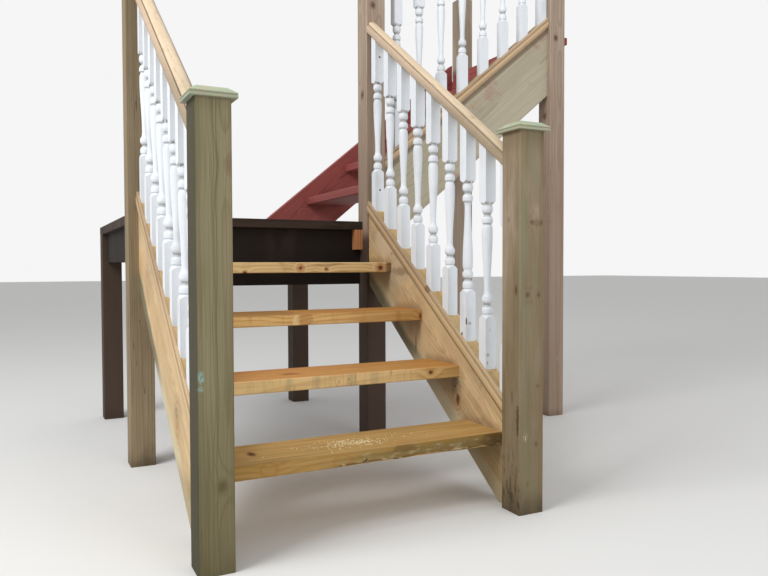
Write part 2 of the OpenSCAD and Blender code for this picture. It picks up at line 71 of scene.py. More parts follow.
LOWER_STEP = step_between("tread_1", "tread_4", 3)
UPPER_STEP = step_between("upper_tread_1", "upper_tread_4", 3)
LOWER_SLOPE = Vector((0, LOWER_STEP.y, LOWER_STEP.z)).normalized()
UPPER_SLOPE = Vector((UPPER_STEP.x, 0, UPPER_STEP.z)).normalized()
LOWER_NORMAL = ACROSS.cross(LOWER_SLOPE)
UPPER_NORMAL = UPPER_SLOPE.cross(BACK)
# front upper edge of the first tread
NOSE = Vector((0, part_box("tread_1")[0].y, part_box("tread_1")[1].z))

# a flight's step and slope, the directions square to it and across it, and the axis along it
Flight = namedtuple("Flight", "step slope normal across axis")
LOWER_FLIGHT = Flight(LOWER_STEP, LOWER_SLOPE, LOWER_NORMAL, ACROSS, 1)
UPPER_FLIGHT = Flight(UPPER_STEP, UPPER_SLOPE, UPPER_NORMAL, BACK, 0)
BALUSTRADES = {"left": LOWER_FLIGHT, "right": LOWER_FLIGHT, "upper": UPPER_FLIGHT}


# Sizes and colours that a user would change


def colour(name, description, default):
    return FloatVectorProperty(name=name, description=description, subtype="COLOR", size=3,
                               min=0.0, max=1.0, default=default)


class StairTimberColours(bpy.types.PropertyGroup):
    """Light wood and dark ring of every kind of timber, and the marks on them."""

    tread_light: colour("Tread wood", "Early wood of the new treads", (0.60, 0.385, 0.135))
    tread_ring: colour("Tread rings", "Late wood of the new treads", (0.33, 0.145, 0.032))
    stringer_light: colour("Stringer wood", "Early wood of the stringers", (0.60, 0.44, 0.25))
    stringer_ring: colour("Stringer rings", "Late wood of the stringers", (0.36, 0.20, 0.075))
    # also used as painted shade on the stringers' lower edge
    olive_tint_and_shade: colour("Olive tint", "Preservative on the lower edges", (0.12, 0.10, 0.045))
    rail_light: colour("Base rail wood", "Early wood of the base rails", (0.545, 0.405, 0.28))
    rail_ring: colour("Base rail rings", "Late wood of the base rails", (0.30, 0.175, 0.075))
    hand_light: colour("Handrail wood", "Early wood of the handrails", (0.68, 0.555, 0.43))
    # painted highlight: the crown's paler colour stands for the light it gets from the sky
    crown: colour("Handrail crown", "Sun-bleached crown of the handrails", (0.82, 0.67, 0.44))
    hand_ring: colour("Handrail rings", "Late wood of the handrails", (0.48, 0.32, 0.19))
    fillet_light: colour("Fillet wood", "Early wood of the fillets", (0.54, 0.385, 0.19))
    fillet_ring: colour("Fillet rings", "Late wood of the fillets", (0.36, 0.22, 0.085))
    left_post_light: colour("Left newel wood", "Olive early wood", (0.262, 0.230, 0.134))
    left_post_ring: colour("Left newel rings", "Olive late wood", (0.105, 0.088, 0.042))
    right_post_light: colour("Right newel wood", "Brown early wood", (0.268, 0.208, 0.13))
    right_post_ring: colour("Right newel rings", "Brown late wood", (0.13, 0.09, 0.048))
    tall_post_light: colour("Tall newel wood", "Pinkish early wood", (0.40, 0.32, 0.25))
    tall_post_ring: colour("Tall newel rings", "Pinkish late wood", (0.21, 0.135, 0.088))
    cap_light: colour("Cap wood", "Pale green early wood", (0.40, 0.45, 0.31))
    cap_ring: colour("Cap rings", "Olive late wood", (0.29, 0.31, 0.18))
    # the landing boards and beams are near black, partly as painted shade under the landing
    board_wood_and_shade: colour("Landing boards", "Weathered early wood", (0.050, 0.031, 0.023))
    board_ring: colour("Landing board rings", "Weathered late wood", (0.022, 0.014, 0.010))
    beam_light: colour("Beams", "Early wood of the dark beams, and dirt", (0.015, 0.010, 0.007))
    beam_ring: colour("Beam rings", "Late wood of the dark beams", (0.008, 0.005, 0.004))
    block_light: colour("Packing block", "Early wood of the block", (0.56, 0.26, 0.12))
    block_ring: colour("Packing block rings", "Late wood of the block", (0.3, 0.115, 0.042))
    red_light: colour("Red stain", "Stain on early wood", (0.324, 0.084, 0.073))
    red_ring: colour("Red stain rings", "Stain on late wood", (0.14, 0.027, 0.023))
    tan_light: colour("Upper stringer wood", "Tan early wood", (0.44, 0.40, 0.30))
    tan_ring: colour("Upper stringer rings", "Tan late wood", (0.30, 0.25, 0.17))
    knot_heart: colour("Knots", "Heart of a knot", (0.075, 0.024, 0.009))
    knot_rim: colour("Knot rims", "Bark round a knot", (0.025, 0.012, 0.007))
    knot_collar: colour("Knot collars", "Orange wood round a knot", (0.50, 0.255, 0.09))
    # this colour also serves as painted shade on the stringers and in the rails' quirks
    bark: colour("Bark", "Bark, wane and brown dirt", (0.105, 0.058, 0.022))
    paint: colour("Spindle paint", "White paint", (0.76, 0.8, 0.845))
    # also painted shade in the spindles' necks
    grime_and_shade: colour("Grime", "Dirt in the turned grooves", (0.20, 0.19, 0.17))
    # also painted shade on the nipped corners under the spindles' upper squares
    chip_and_shade: colour("Chips", "Wood under the chipped paint", (0.16, 0.11, 0.07))
    smudge: colour("Smudge", "Turquoise, on the left newel and the caps", (0.24, 0.45, 0.43))
    steel: colour("Screws", "Zinc of the screws", (0.42, 0.40, 0.36))
    # also used for the painted shadow under the base rail
    old_front_and_shade: colour("Old front", "Brown stain of years, and dirt", (0.20, 0.135, 0.035))
    # near black partly as painted shade
    algae_and_shade_side: colour("Dark side", "Wet algae on the left newel's side", (0.042, 0.039, 0.025))
    moss: colour("Moss", "Green-grey algae on the right newel", (0.235, 0.232, 0.150))
    resin: colour("Resin", "Warm tint over the new treads", (1.0, 0.84, 0.60))
    sapwood: colour("Sapwood", "Pale grey-green wood and lichen", (0.55, 0.49, 0.34))
    # also used for painted highlights on the base rails and the treads' top edges
    pale_wood_and_highlight: colour("Pale wood", "Pale grain of the new pine", (0.72, 0.53, 0.27))
    dark_screw: colour("Dark screws", "Screws through the last spindle", (0.02, 0.02, 0.022))
    dust: colour("Sawdust", "Fresh sawdust", (0.98, 0.90, 0.62))


class StairDetails(bpy.types.PropertyGroup):
    """Sizes of what lies on the timbers."""

    ring_spacing: FloatProperty(name="Ring spacing", description="Distance between growth rings",
                                default=0.0052, unit="LENGTH")
    grain_depth: FloatProperty(name="Grain depth", description="Depth of the raised grain",
                               default=0.0005, unit="LENGTH")
    screw_radius: FloatProperty(name="Screw radius", description="Radius of a deck screw's head",
                                default=0.0042, unit="LENGTH")
    screw_height: FloatProperty(name="Screw height", description="How far a head stands proud",
                                default=0.0006, unit="LENGTH")
    screw_inset: FloatProperty(name="Screw inset", description="From a board's edge to its screw",
                               default=0.030, unit="LENGTH")
    dust_count: IntProperty(name="Sawdust", description="Number of flakes of sawdust",
                            default=320, min=0, max=3000)
    dust_size: FloatProperty(name="Flake size", description="Length of a flake of sawdust",
                             default=0.0038, unit="LENGTH")


class StairStudio(bpy.types.PropertyGroup):
    """Camera, lamps and floor."""

    camera_place: FloatVectorProperty(name="Camera", description="Place of the camera",
                                      subtype="TRANSLATION", unit="LENGTH",
                                      default=(-1.5165, -2.92595, 0.7934))
    camera_heading: FloatProperty(name="Heading", description="Camera's turn right of straight on",
                                  default=math.radians(26.838), subtype="ANGLE")
    camera_tilt: FloatProperty(name="Tilt", description="Camera's tilt over the horizon",
                               default=math.radians(-1.754), subtype="ANGLE")
    camera_roll: FloatProperty(name="Roll", description="Camera's roll to the left",
                               default=math.radians(-0.170), subtype="ANGLE")
    camera_lens: FloatProperty(name="Lens", description="Focal length on a 36 mm sensor",
                               default=33.583, unit="CAMERA")
    sky: FloatProperty(name="Sky light", description="Strength of the even light from all round",
                       default=0.60, min=0.0)
    key: FloatProperty(name="Key lamp", description="Power of the large soft lamp", default=225.0,
                       min=0.0, unit="POWER")
    floor: colour("Floor", "Colour of the studio floor", (0.74, 0.74, 0.73))


# Shader expressions


class Wire:
    """A material socket that adds Math nodes when it is used in an expression."""

    def __init__(self, shade, socket):
        self.shade = shade
        self.socket = socket

    def __add__(self, other):
        return self.shade.maths("ADD", self, other)

    def __sub__(self, other):
        return self.shade.maths("SUBTRACT", self, other)

    def __rsub__(self, other):
        return self.shade.maths("SUBTRACT", other, self)

    def __mul__(self, other):
        return self.shade.maths("MULTIPLY", self, other)

    def __truediv__(self, other):
        return self.shade.maths("DIVIDE", self, other)

    def __abs__(self):
        return self.shade.maths("ABSOLUTE", self)

    def between(self, low, high):
        """Smooth step from 0 at low to 1 at high."""
        return self.shade.node("ShaderNodeMapRange", {"interpolation_type": "SMOOTHSTEP"},
                               {"Value": self, "From Min": low, "From Max": high})


class Shade:
    """A node tree that grows by expressions and by one method for every other node."""

    def __init__(self, owner):
        owner.use_nodes = True
        self.tree = owner.node_tree
        self.tree.nodes.clear()

    def node(self, kind, settings=None, sockets=None, out=0):
        made = self.tree.nodes.new(kind)
        for name, value in (settings or {}).items():
            setattr(made, name, value)
        for name, value in (sockets or {}).items():
            if isinstance(value, Wire):
                self.tree.links.new(value.socket, made.inputs[name])
            else:
                made.inputs[name].default_value = value
        return Wire(self, made.outputs[out]) if made.outputs else made

    def maths(self, operation, *values):
        return self.node("ShaderNodeMath", {"operation": operation}, dict(enumerate(values)))

    def vectors(self, operation, *values, out=0):
        return self.node("ShaderNodeVectorMath", {"operation": operation},
                         dict(enumerate(values)), out)

    def mix(self, amount, under, over, blend="MIX"):
        """Colour under with colour over laid on it by amount."""
        factor, first, second, result = 0, 6, 7, 2
        return self.node("ShaderNodeMix", {"data_type": "RGBA", "blend_type": blend},
                         {factor: amount, first: opaque(under), second: opaque(over)}, result)

    def noise(self, place, stretch, detail=2.0, rough=0.5):
        """Noise from 0 to 1, with stretch waves to the metre along each axis."""
        return self.node("ShaderNodeTexNoise", {},
                         {"Vector": self.vectors("MULTIPLY", place, stretch), "Scale": 1.0,
                          "Detail": detail, "Roughness": rough})

    def split(self, place):
        return [self.node("ShaderNodeSeparateXYZ", {}, {"Vector": place}, axis)
                for axis in ("X", "Y", "Z")]

    def join(self, x, y, z):
        return self.node("ShaderNodeCombineXYZ", {}, {"X": x, "Y": y, "Z": z})

    def chance(self, number):
        """A random vector for each whole number."""
        return self.node("ShaderNodeTexWhiteNoise", {"noise_dimensions": "1D"}, {"W": number},
                         "Color")


def opaque(value):
    return value if isinstance(value, Wire) else (*value, 1.0)


class Finish(Shade):
    """A material: a colour, a height for its bump, and a roughness."""

    # timber and old paint shine little
    GLOSS = 0.2

    def __init__(self, name):
        self.material = bpy.data.materials.new(name)
        super().__init__(self.material)
        self.place = self.node("ShaderNodeTexCoord", out="Object")
        self.x, self.y, self.z = self.split(self.place)
        self.colour = (0.5, 0.5, 0.5)
        self.height = 0.0

    def cloud(self, waves, detail=2.0, rough=0.5):
        """Noise that lies still on the stair, its waves one number or one for each axis."""
        waves = waves if isinstance(waves, tuple) else (waves, waves, waves)
        return self.noise(self.place, waves, detail, rough)

    def patch(self, centre, radii, ragged=0.35, grit=60.0, edge=(1.15, 0.75)):
        """1 inside an ellipsoid, falling to 0 over its edge, given in shares of its radii."""
        return self.reach(centre, radii, ragged, grit).between(*edge)

    def reach(self, centre, radii, ragged, grit):
        """Distance from centre, as a share of radii, roughened a little."""
        spot = self.node("ShaderNodeMapping", {"vector_type": "TEXTURE"},
                         {"Vector": self.place, "Location": centre, "Scale": radii})
        rough = self.cloud(grit) - 0.5
        return self.vectors("LENGTH", spot, out="Value") + rough * ragged

    def over(self, corner, normal):
        """Distance over the plane through corner that is square to normal."""
        away = self.vectors("SUBTRACT", self.place, corner)
        return self.vectors("DOT_PRODUCT", away, normal, out="Value")

    def stain(self, amount, colour, blend="MIX"):
        self.colour = self.mix(amount, self.colour, colour, blend)

    def lift(self, height):
        self.height = self.height + height

    def done(self, roughness, depth, metallic=0.0):
        bump = self.node("ShaderNodeBump", {},
                         {"Strength": 1.0, "Distance": depth, "Height": self.height})
        surface = self.node("ShaderNodeBsdfPrincipled", {},
                            {"Base Color": opaque(self.colour), "Roughness": roughness,
                             "Metallic": metallic, "Specular IOR Level": self.GLOSS,
                             "Normal": bump})
        self.node("ShaderNodeOutputMaterial", {}, {"Surface": surface})
        return self.material


class Timber(Finish):
    """Solid wood: growth rings round a pith, with knots that push the rings aside."""

    # where no knot is near, as a share of a knot's radius
    FAR = 9.0
    # how far apart the wood of two boards may lie, along the grain and across it both ways
    DRIFT = (7.0, 0.07, 0.03)

    def __init__(self, name, pith, along, side, boards=None):
        super().__init__(name)
        turned = Matrix((along, side, along.cross(side))).transposed().to_euler()
        self.local = self.node("ShaderNodeMapping", {"vector_type": "TEXTURE"},
                               {"Vector": self.place, "Location": pith, "Rotation": turned})
        if boards:
            self.local = self.shuffle(*boards)
        self.knots = self.FAR
        self.bends = self.FAR
        self.swirl = 2.6

    def figure(self, waves, detail=2.0, rough=0.5):
        """Noise that follows the grain, with its first wave along it."""
        return self.noise(self.local, waves, detail, rough)

    def shuffle(self, axis, start, pitch):
        """Gives every board of a row its own stretch of wood."""
        count = self.maths("FLOOR", ((self.x, self.y, self.z)[axis] - start) / pitch)
        drift = self.vectors("SUBTRACT", self.chance(count), (0.5, 0.5, 0.5))
        return self.vectors("ADD", self.local, self.vectors("MULTIPLY", drift, self.DRIFT))

    def knot(self, centre, radii):
        near = self.reach(centre, radii, 0.3, 90.0)
        self.knots = self.maths("MINIMUM", self.knots, near)
        self.bends = self.maths("MINIMUM", self.bends, near)

    def bend(self, centre, radii):
        """Grain that swerves as if round a knot under the surface."""
        self.bends = self.maths("MINIMUM", self.bends, self.reach(centre, radii, 0.2, 30.0))

    def scatter_knots(self, cell, radius, girth, seed):
        """Branches that leave the pith at random, about one to each cell of the surface."""
        x, y, z = self.split(self.local)
        round_pith = self.maths("SQRT", y * y + z * z) + 0.0001
        spot = self.join((x + seed) / cell, y / round_pith * (girth / cell),
                         z / round_pith * (girth / cell))
        cells = self.node("ShaderNodeTexVoronoi", {}, {"Vector": spot, "Scale": 1.0})
        self.knots = self.maths("MINIMUM", self.knots, cells * (cell / radius))
        self.bends = self.maths("MINIMUM", self.bends, cells * (cell / radius))

    def grow(self, light, ring, spacing, wander=0.02, taper=0.012, contrast=0.75, fibre=0.22,
             onset=0.25):
        """Rings whose dark late wood starts at onset, with fibre and broad streaks over them."""
        x, y, z = self.split(self.local)
        sway_y = self.figure((0.9, 3.0, 3.0), 1.0) - 0.5
        sway_z = self.figure((1.3, 5.0, 5.0), 1.0) - 0.5
        out_y = y + x * taper + sway_y * wander
        out_z = z + sway_z * wander
        swirl = self.maths("EXPONENT", self.bends * self.bends * -0.16) * self.swirl
        ripple = (self.figure((4.0, 26.0, 26.0)) - 0.5) * 0.5
        count = self.maths("SQRT", out_y * out_y + out_z * out_z) / spacing + swirl + ripple
        phase = self.maths("FRACT", count)
        strength = self.node("ShaderNodeSeparateColor", {},
                             {"Color": self.chance(self.maths("FLOOR", count))}) * 0.55 + 0.45
        self.late = phase.between(onset, 0.88) * phase.between(1.0, 0.92) * strength
        self.streak = self.figure((9.0, 380.0, 380.0), 3.0, 0.6)
        band = self.figure((0.9, 120.0, 120.0), 2.0, 0.6)
        broad = self.figure((0.7, 34.0, 34.0), 2.0, 0.6)
        blotch = self.figure((1.6, 9.0, 9.0))
        self.colour = self.mix(self.late * contrast, light, ring)
        self.stain(blotch.between(0.40, 0.72) * 0.35, ring)
        shade = (self.streak + band * 1.6 + broad * 1.4 - 2.0) * fibre + 1.0
        self.stain(1.0, self.join(shade, shade, shade), "MULTIPLY")
        self.height = self.late * 0.35 + self.streak * 0.4

    def fine_lines(self, stretch, dark, amount, pale):
        """Fine dark and pale lines along the grain."""
        lines = self.figure((stretch, 115.0, 115.0), 3.0, 0.65)
        self.stain(lines.between(0.54, 0.68) * amount, dark)
        self.stain(lines.between(0.44, 0.30) * amount, pale)

    def show_knots(self, heart, rim, collar, strength=1.0):
        """A dark heart in a collar, with a broken line of bark round the heart."""
        speck = self.cloud(150.0)
        self.stain(self.knots.between(1.25, 0.75) * 0.5 * strength, collar)
        self.stain(self.knots.between(0.66, 0.34) * (speck * 0.4 + 0.65) * strength, heart)
        bark = abs(self.knots - 0.58).between(0.14, 0.02) * speck.between(0.35, 0.60)
        self.stain((bark * 0.6 + self.knots.between(0.25, 0.05) * 0.6) * strength, rim)
        self.lift(bark * -0.6)

    def checks(self, amount, colour, fineness=46.0, width=0.010):
        """Drying cracks along the grain."""
        wave = self.figure((1.5, fineness, fineness), 1.0)
        crack = abs(wave - 0.5).between(width, width * 0.25) * amount
        self.stain(crack, colour)
        self.lift(crack * -2.5)


def dress(node, material):
    mesh = NODES[node].data
    mesh.materials.clear()
    mesh.materials.append(material)


def finishes(context):
    return context.scene.stair_colours, context.scene.stair_details


# Newels


def newel_timber(name, node, pith, seed):
    wood = Timber(name, middle(node) + pith, UP, BACK)
    wood.scatter_knots(cell=0.26, radius=0.011, girth=0.06, seed=seed)
    wood.swirl = 1.1
    return wood


def grow_newel(wood, light, ring, details, colours):
    """Thin dark rings, wide apart, and knots of about the wood's own colour."""
    wood.grow(light, ring, details.ring_spacing * 1.3, wander=0.008, taper=0.004, contrast=0.50,
              fibre=0.34, onset=0.62)
    wood.fine_lines(1.1, ring, 0.46, light)
    wood.show_knots(colours.knot_heart, colours.knot_rim, ring, 0.85)


def weather_newel(wood, colours, foot, patch_colour):
    """Patches, dirt in the grain, cracks and a damp foot."""
    patches = wood.cloud((7.0, 7.0, 2.2), 3.0)
    wood.stain(patches.between(0.5, 0.75) * 0.30, patch_colour)
    grain_dirt = wood.figure((2.6, 90.0, 90.0))
    wood.stain(grain_dirt.between(0.60, 0.85) * 0.30, colours.beam_light)
    wood.checks(wood.cloud((7.0, 7.0, 2.5), 1.0).between(0.54, 0.70) * 0.8,
                colours.beam_ring, fineness=60.0, width=0.006)
    damp = (wood.z + wood.cloud((18.0, 18.0, 9.0), 3.0) * 0.12).between(foot, 0.04)
    wood.stain(damp * 0.6, colours.beam_light)


class STAIRS_OT_newels(bpy.types.Operator):
    """Dress the square posts with olive, brown and pinkish treated timber"""

    bl_idname = "deck_stairs.newels"
    bl_label = "Newels and posts"

    # dark lines down the left newel's front: from its left edge, and strength
    LINES = ((0.028, 0.45), (0.037, 0.55), (0.062, 0.35))
    # two dabs of its smudge: height, half length and strength
    SMUDGE = ((0.514, 0.017, 0.75), (0.484, 0.008, 0.45))
    # the right newel's knots: from its left or front edge, height, half width and half height
    FRONT_KNOTS = ((0.084, 0.930, 0.009, 0.011), (0.045, 0.931, 0.009, 0.009),
                   (0.030, 0.701, 0.012, 0.012), (0.074, 0.700, 0.009, 0.010),
                   (0.071, 0.409, 0.009, 0.009), (0.066, 0.223, 0.010, 0.010),
                   (0.032, 0.099, 0.009, 0.012))
    SIDE_KNOTS = ((0.059, 0.940, 0.010, 0.012), (0.020, 0.716, 0.008, 0.022),
                  (0.039, 0.370, 0.007, 0.030))

    def execute(self, context):
        colours, details = finishes(context)
        self.left(colours, details)
        self.right(colours, details)
        self.tall(colours, details)
        self.others(colours, details)
        return {"FINISHED"}

    def left(self, colours, details):
        """Olive, browner to the right, with its left side near black as wet algae and painted
        shade.
        """
        node = "left_bottom_newel"
        low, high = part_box(node)
        wood = newel_timber("olive newel", node, Vector((0.030, 0.020, 0)), 0.4)
        wood.knot((high.x + 0.004, low.y, 1.052), (0.024, 0.03, 0.030))
        wood.knot((high.x - 0.032, low.y, 0.229), (0.018, 0.03, 0.024))
        grow_newel(wood, colours.left_post_light, colours.left_post_ring, details, colours)
        halo = wood.patch((high.x, low.y, 1.05), (0.022, 0.06, 0.034), 0.6)
        wood.stain(halo * 0.62, colours.tall_post_ring)
        blotches = wood.cloud((2.0, 2.0, 1.5)).between(0.35, 0.65)
        wood.stain(wood.x.between(low.x + 0.050, high.x) * blotches * 0.55,
                   colours.right_post_light)
        weather_newel(wood, colours, 0.20, colours.olive_tint_and_shade)
        for way, clear, full, amount in ((wood.z, 0.80, 0.10, 0.62),
                                         (wood.x, low.x + 0.026, low.x + 0.002, 0.34),
                                         (wood.x, high.x - 0.020, high.x, 0.16)):
            wood.stain(way.between(clear, full) * amount, colours.olive_tint_and_shade)
        # wet algae and painted shade: the left face near black
        wood.stain(wood.x.between(low.x + 0.004, low.x) * 0.86, colours.algae_and_shade_side)
        front = wood.y.between(low.y + 0.004, low.y + 0.001)
        drift = wood.cloud((0.4, 0.4, 4.5), 1.0) * 0.03
        for across, amount in self.LINES:
            line = abs(wood.x - drift - (low.x + across)).between(0.0018, 0.0006)
            wood.stain(line * front * amount, colours.left_post_ring)
        dry = wood.cloud((200.0, 200.0, 90.0)).between(0.25, 0.65)
        for height, size, amount in self.SMUDGE:
            wet = wood.patch((low.x + 0.010, low.y, height), (0.008, 0.02, size), 0.9, 110.0,
                             (1.3, 0.5))
            wood.stain(wet * dry * amount, colours.smudge)
        dress(node, wood.done(0.80, details.grain_depth))

    def right(self, colours, details):
        """Brown and darker at both ends, the top end as painted shade under the cap, with many
        small knots and moss on its left half.
        """
        node = "right_bottom_newel"
        low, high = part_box(node)
        ring = colours.right_post_ring
        wood = newel_timber("brown newel", node, Vector((-0.020, 0.030, 0)), 7.3)
        for across, height, wide, tall in self.FRONT_KNOTS:
            wood.knot((low.x + across, low.y, height), (wide, 0.02, tall))
        for back, height, wide, tall in self.SIDE_KNOTS:
            wood.knot((low.x, low.y + back, height), (0.02, wide, tall))
        grow_newel(wood, colours.right_post_light, ring, details, colours)
        front = wood.y.between(low.y + 0.006, low.y + 0.001)
        pink = wood.cloud((14.0, 14.0, 3.0), 3.0, 0.6)
        wood.stain(pink.between(0.46, 0.66) * 0.45, colours.tall_post_light)
        wood.stain(pink.between(0.44, 0.30) * 0.30, ring)
        wood.stain(front * wood.x.between(low.x + 0.045, high.x) * 0.30, ring)
        veil = wood.cloud((24.0, 24.0, 2.2), 4.0, 0.6).between(0.40, 0.62)
        left_half = wood.x.between(low.x + 0.085, low.x + 0.055)
        wood.stain(veil * front * left_half * 0.75, colours.moss)
        # the last row is painted shade, darker just under the cap
        for clear, full, amount, tint in ((0.90, 0.20, 0.32, ring),
                                          (0.75, 0.25, 0.14, colours.old_front_and_shade),
                                          (1.12, 1.21, 0.30, ring)):
            wood.stain(wood.z.between(clear, full) * amount, tint)
        wood.stain(front * 0.20, ring)
        weather_newel(wood, colours, 0.18, ring)
        self.scars(wood, low, colours)
        dress(node, wood.done(0.80, details.grain_depth))

    def scars(self, wood, low, colours):
        """Rot at the foot of the right newel's side; a smear, bare wood, lichen and a split."""
        rot = wood.cloud((110.0, 90.0, 22.0)).between(0.52, 0.66)
        wood.stain(rot * wood.z.between(0.30, 0.05) * wood.x.between(low.x + 0.004, low.x) * 0.6,
                   colours.knot_rim)
        smear = wood.patch((low.x + 0.064, low.y, 0.929), (0.026, 0.02, 0.010), 1.8, 90.0,
                           (1.3, 0.6))
        wood.stain(smear * 0.45, colours.right_post_ring)
        bare = wood.patch((low.x + 0.062, low.y, 0.966), (0.016, 0.02, 0.026), 1.4, 60.0,
                          (1.6, 0.3))
        grit = wood.cloud((150.0, 150.0, 60.0)).between(0.35, 0.65)
        wood.stain(bare * grit * 0.42, colours.tall_post_light)
        lichen = wood.patch((low.x + 0.022, low.y, 0.250), (0.010, 0.02, 0.016), 0.8, 160.0,
                            (1.3, 0.6))
        specks = wood.cloud((260.0, 260.0, 200.0), 1.0).between(0.54, 0.62)
        wood.stain(lichen * specks * 0.8, colours.sapwood)
        split = wood.patch((low.x, low.y + 0.011, 0.305), (0.02, 0.007, 0.048), 1.5, 120.0)
        wood.stain(split * 0.6, colours.knot_rim)
        wood.lift(split * -2.0)

    def tall(self, colours, details):
        """Pinkish, darker downwards as painted shade; the one at the landing is painted black below
        the boards as shade.
        """
        for node, seed in (("right_top_newel", 3.1), ("upper_near_newel", 12.7)):
            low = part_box(node)[0]
            wood = newel_timber("pinkish newel " + str(seed), node, Vector((0.01, 0.02, 0)),
                                seed)
            wood.knot((low.x + 0.034, low.y, 1.977), (0.018, 0.03, 0.024))
            wood.knot((low.x, low.y + 0.045, 1.577), (0.03, 0.020, 0.028))
            grow_newel(wood, colours.tall_post_light, colours.tall_post_ring, details, colours)
            weather_newel(wood, colours, 0.12, colours.tall_post_ring)
            # painted shade: darker downwards, the upper part lit more by the sky
            wood.stain(wood.z.between(1.85, 1.05) * 0.45, colours.tall_post_ring)
            # painted shade: the newel at the landing turns near black below the boards
            if node == "right_top_newel":
                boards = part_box("landing_boards")[0].z
                wood.stain(wood.z.between(boards + 0.009, boards - 0.061) * 0.93,
                           colours.board_wood_and_shade)
            dress(node, wood.done(0.80, details.grain_depth))

    def others(self, colours, details):
        """The posts behind; those under the landing are painted nearly black as shade."""
        for seed, node in enumerate(("left_top_newel", "upper_far_newel", "landing_left_post",
                                     "landing_right_post")):
            wood = newel_timber("weathered post %d" % seed, node, Vector((0.01, -0.02, 0)),
                                20.0 + seed * 5)
            upper = node.startswith("upper")
            light = colours.tall_post_light if upper else colours.right_post_light
            grow_newel(wood, light, colours.right_post_ring, details, colours)
            weather_newel(wood, colours, 0.14, colours.right_post_ring)
            # painted shade: the posts under the landing are darkened nearly black
            if node.startswith("landing"):
                wood.stain(0.92, colours.board_wood_and_shade)
            dress(node, wood.done(0.80, details.grain_depth))


class STAIRS_OT_caps(bpy.types.Operator):
    """Dress the newel caps with pale green treated timber"""

    bl_idname = "deck_stairs.caps"
    bl_label = "Newel caps"

    # the top of a cap's square edge and the middle of its groove, over its underside
    EDGE = 0.0125
    GROOVE = 0.0087

    def execute(self, context):
        colours, details = finishes(context)
        for node, old in (("left_newel_cap", 0.6), ("right_newel_cap", 0.25)):
            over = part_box(node)[0].z
            wood = Timber("green cap " + node, middle(node) + Vector((0, 0.02, -0.06)), ACROSS,
                          BACK)
            wood.grow(colours.cap_light, colours.cap_ring, details.ring_spacing, wander=0.01,
                      taper=0.03, contrast=0.6)
            lichen = wood.cloud(26.0, 3.0).between(0.45, 0.7)
            wood.stain(lichen * old, colours.tan_light)
            mint = wood.cloud((34.0, 20.0, 40.0), 3.0, 0.6)
            wood.stain(mint.between(0.52, 0.66) * 0.35, colours.smudge)
            wood.stain(mint.between(0.46, 0.34) * 0.40, colours.sapwood)
            edge = wood.z.between(over + self.EDGE + 0.001, over + self.EDGE - 0.001)
            wood.stain(edge * 0.22, colours.left_post_ring)
            fringe = wood.cloud((30.0, 30.0, 9.0)).between(0.42, 0.62)
            wood.stain(edge * fringe * 0.45, colours.tall_post_light)
            # painted shade: darker in the groove
            groove = abs(wood.z - over - self.GROOVE).between(0.0022, 0.0008)
            wood.stain(groove * 0.22, colours.left_post_ring)
            dress(node, wood.done(0.75, details.grain_depth))
        return {"FINISHED"}


# Treads and stringers


class Tread(Timber):
    """New pine, with marks placed from the tread's left end, its top and its front."""

    def __init__(self, number, pith, seed):
        node = "tread_%d" % number
        super().__init__("tread %d pine" % number, middle(node) + Vector(pith), ACROSS, BACK)
        self.low, self.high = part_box(node)
        self.scatter_knots(cell=0.42, radius=0.013, girth=0.10, seed=seed)
        self.swirl = 1.0
        self.front = self.y.between(self.low.y + 0.008, self.low.y + 0.001)
        self.top = self.z.between(self.high.z - 0.006, self.high.z - 0.001)

    def spot(self, along, down, back=0.0):
        return self.low.x + along, self.low.y + back, self.high.z - down

    def span(self, clear, full):
        """From 0 to 1 between two distances from the left end."""
        return self.x.between(self.low.x + clear, self.low.x + full)

    def grow_new(self, colours, details, contrast, pale):
        """Rings, a front that is paler by so much, a pale top front edge of worn wood and painted
        highlight, and the knots over all.
        """
        self.grow(colours.tread_light, colours.tread_ring, details.ring_spacing * 1.5,
                  wander=0.034, taper=0.012, contrast=contrast, fibre=0.34)
        self.stain(self.front * (1.0 - self.late) * pale, colours.pale_wood_and_highlight)
        self.fine_lines(3.0, colours.tread_ring, 0.42, colours.pale_wood_and_highlight)
        # worn wood and painted highlight: a pale line along the top front edge
        self.stain(self.front * self.top * 0.35, colours.pale_wood_and_highlight)
        self.show_knots(colours.knot_heart, colours.knot_rim, colours.knot_collar)


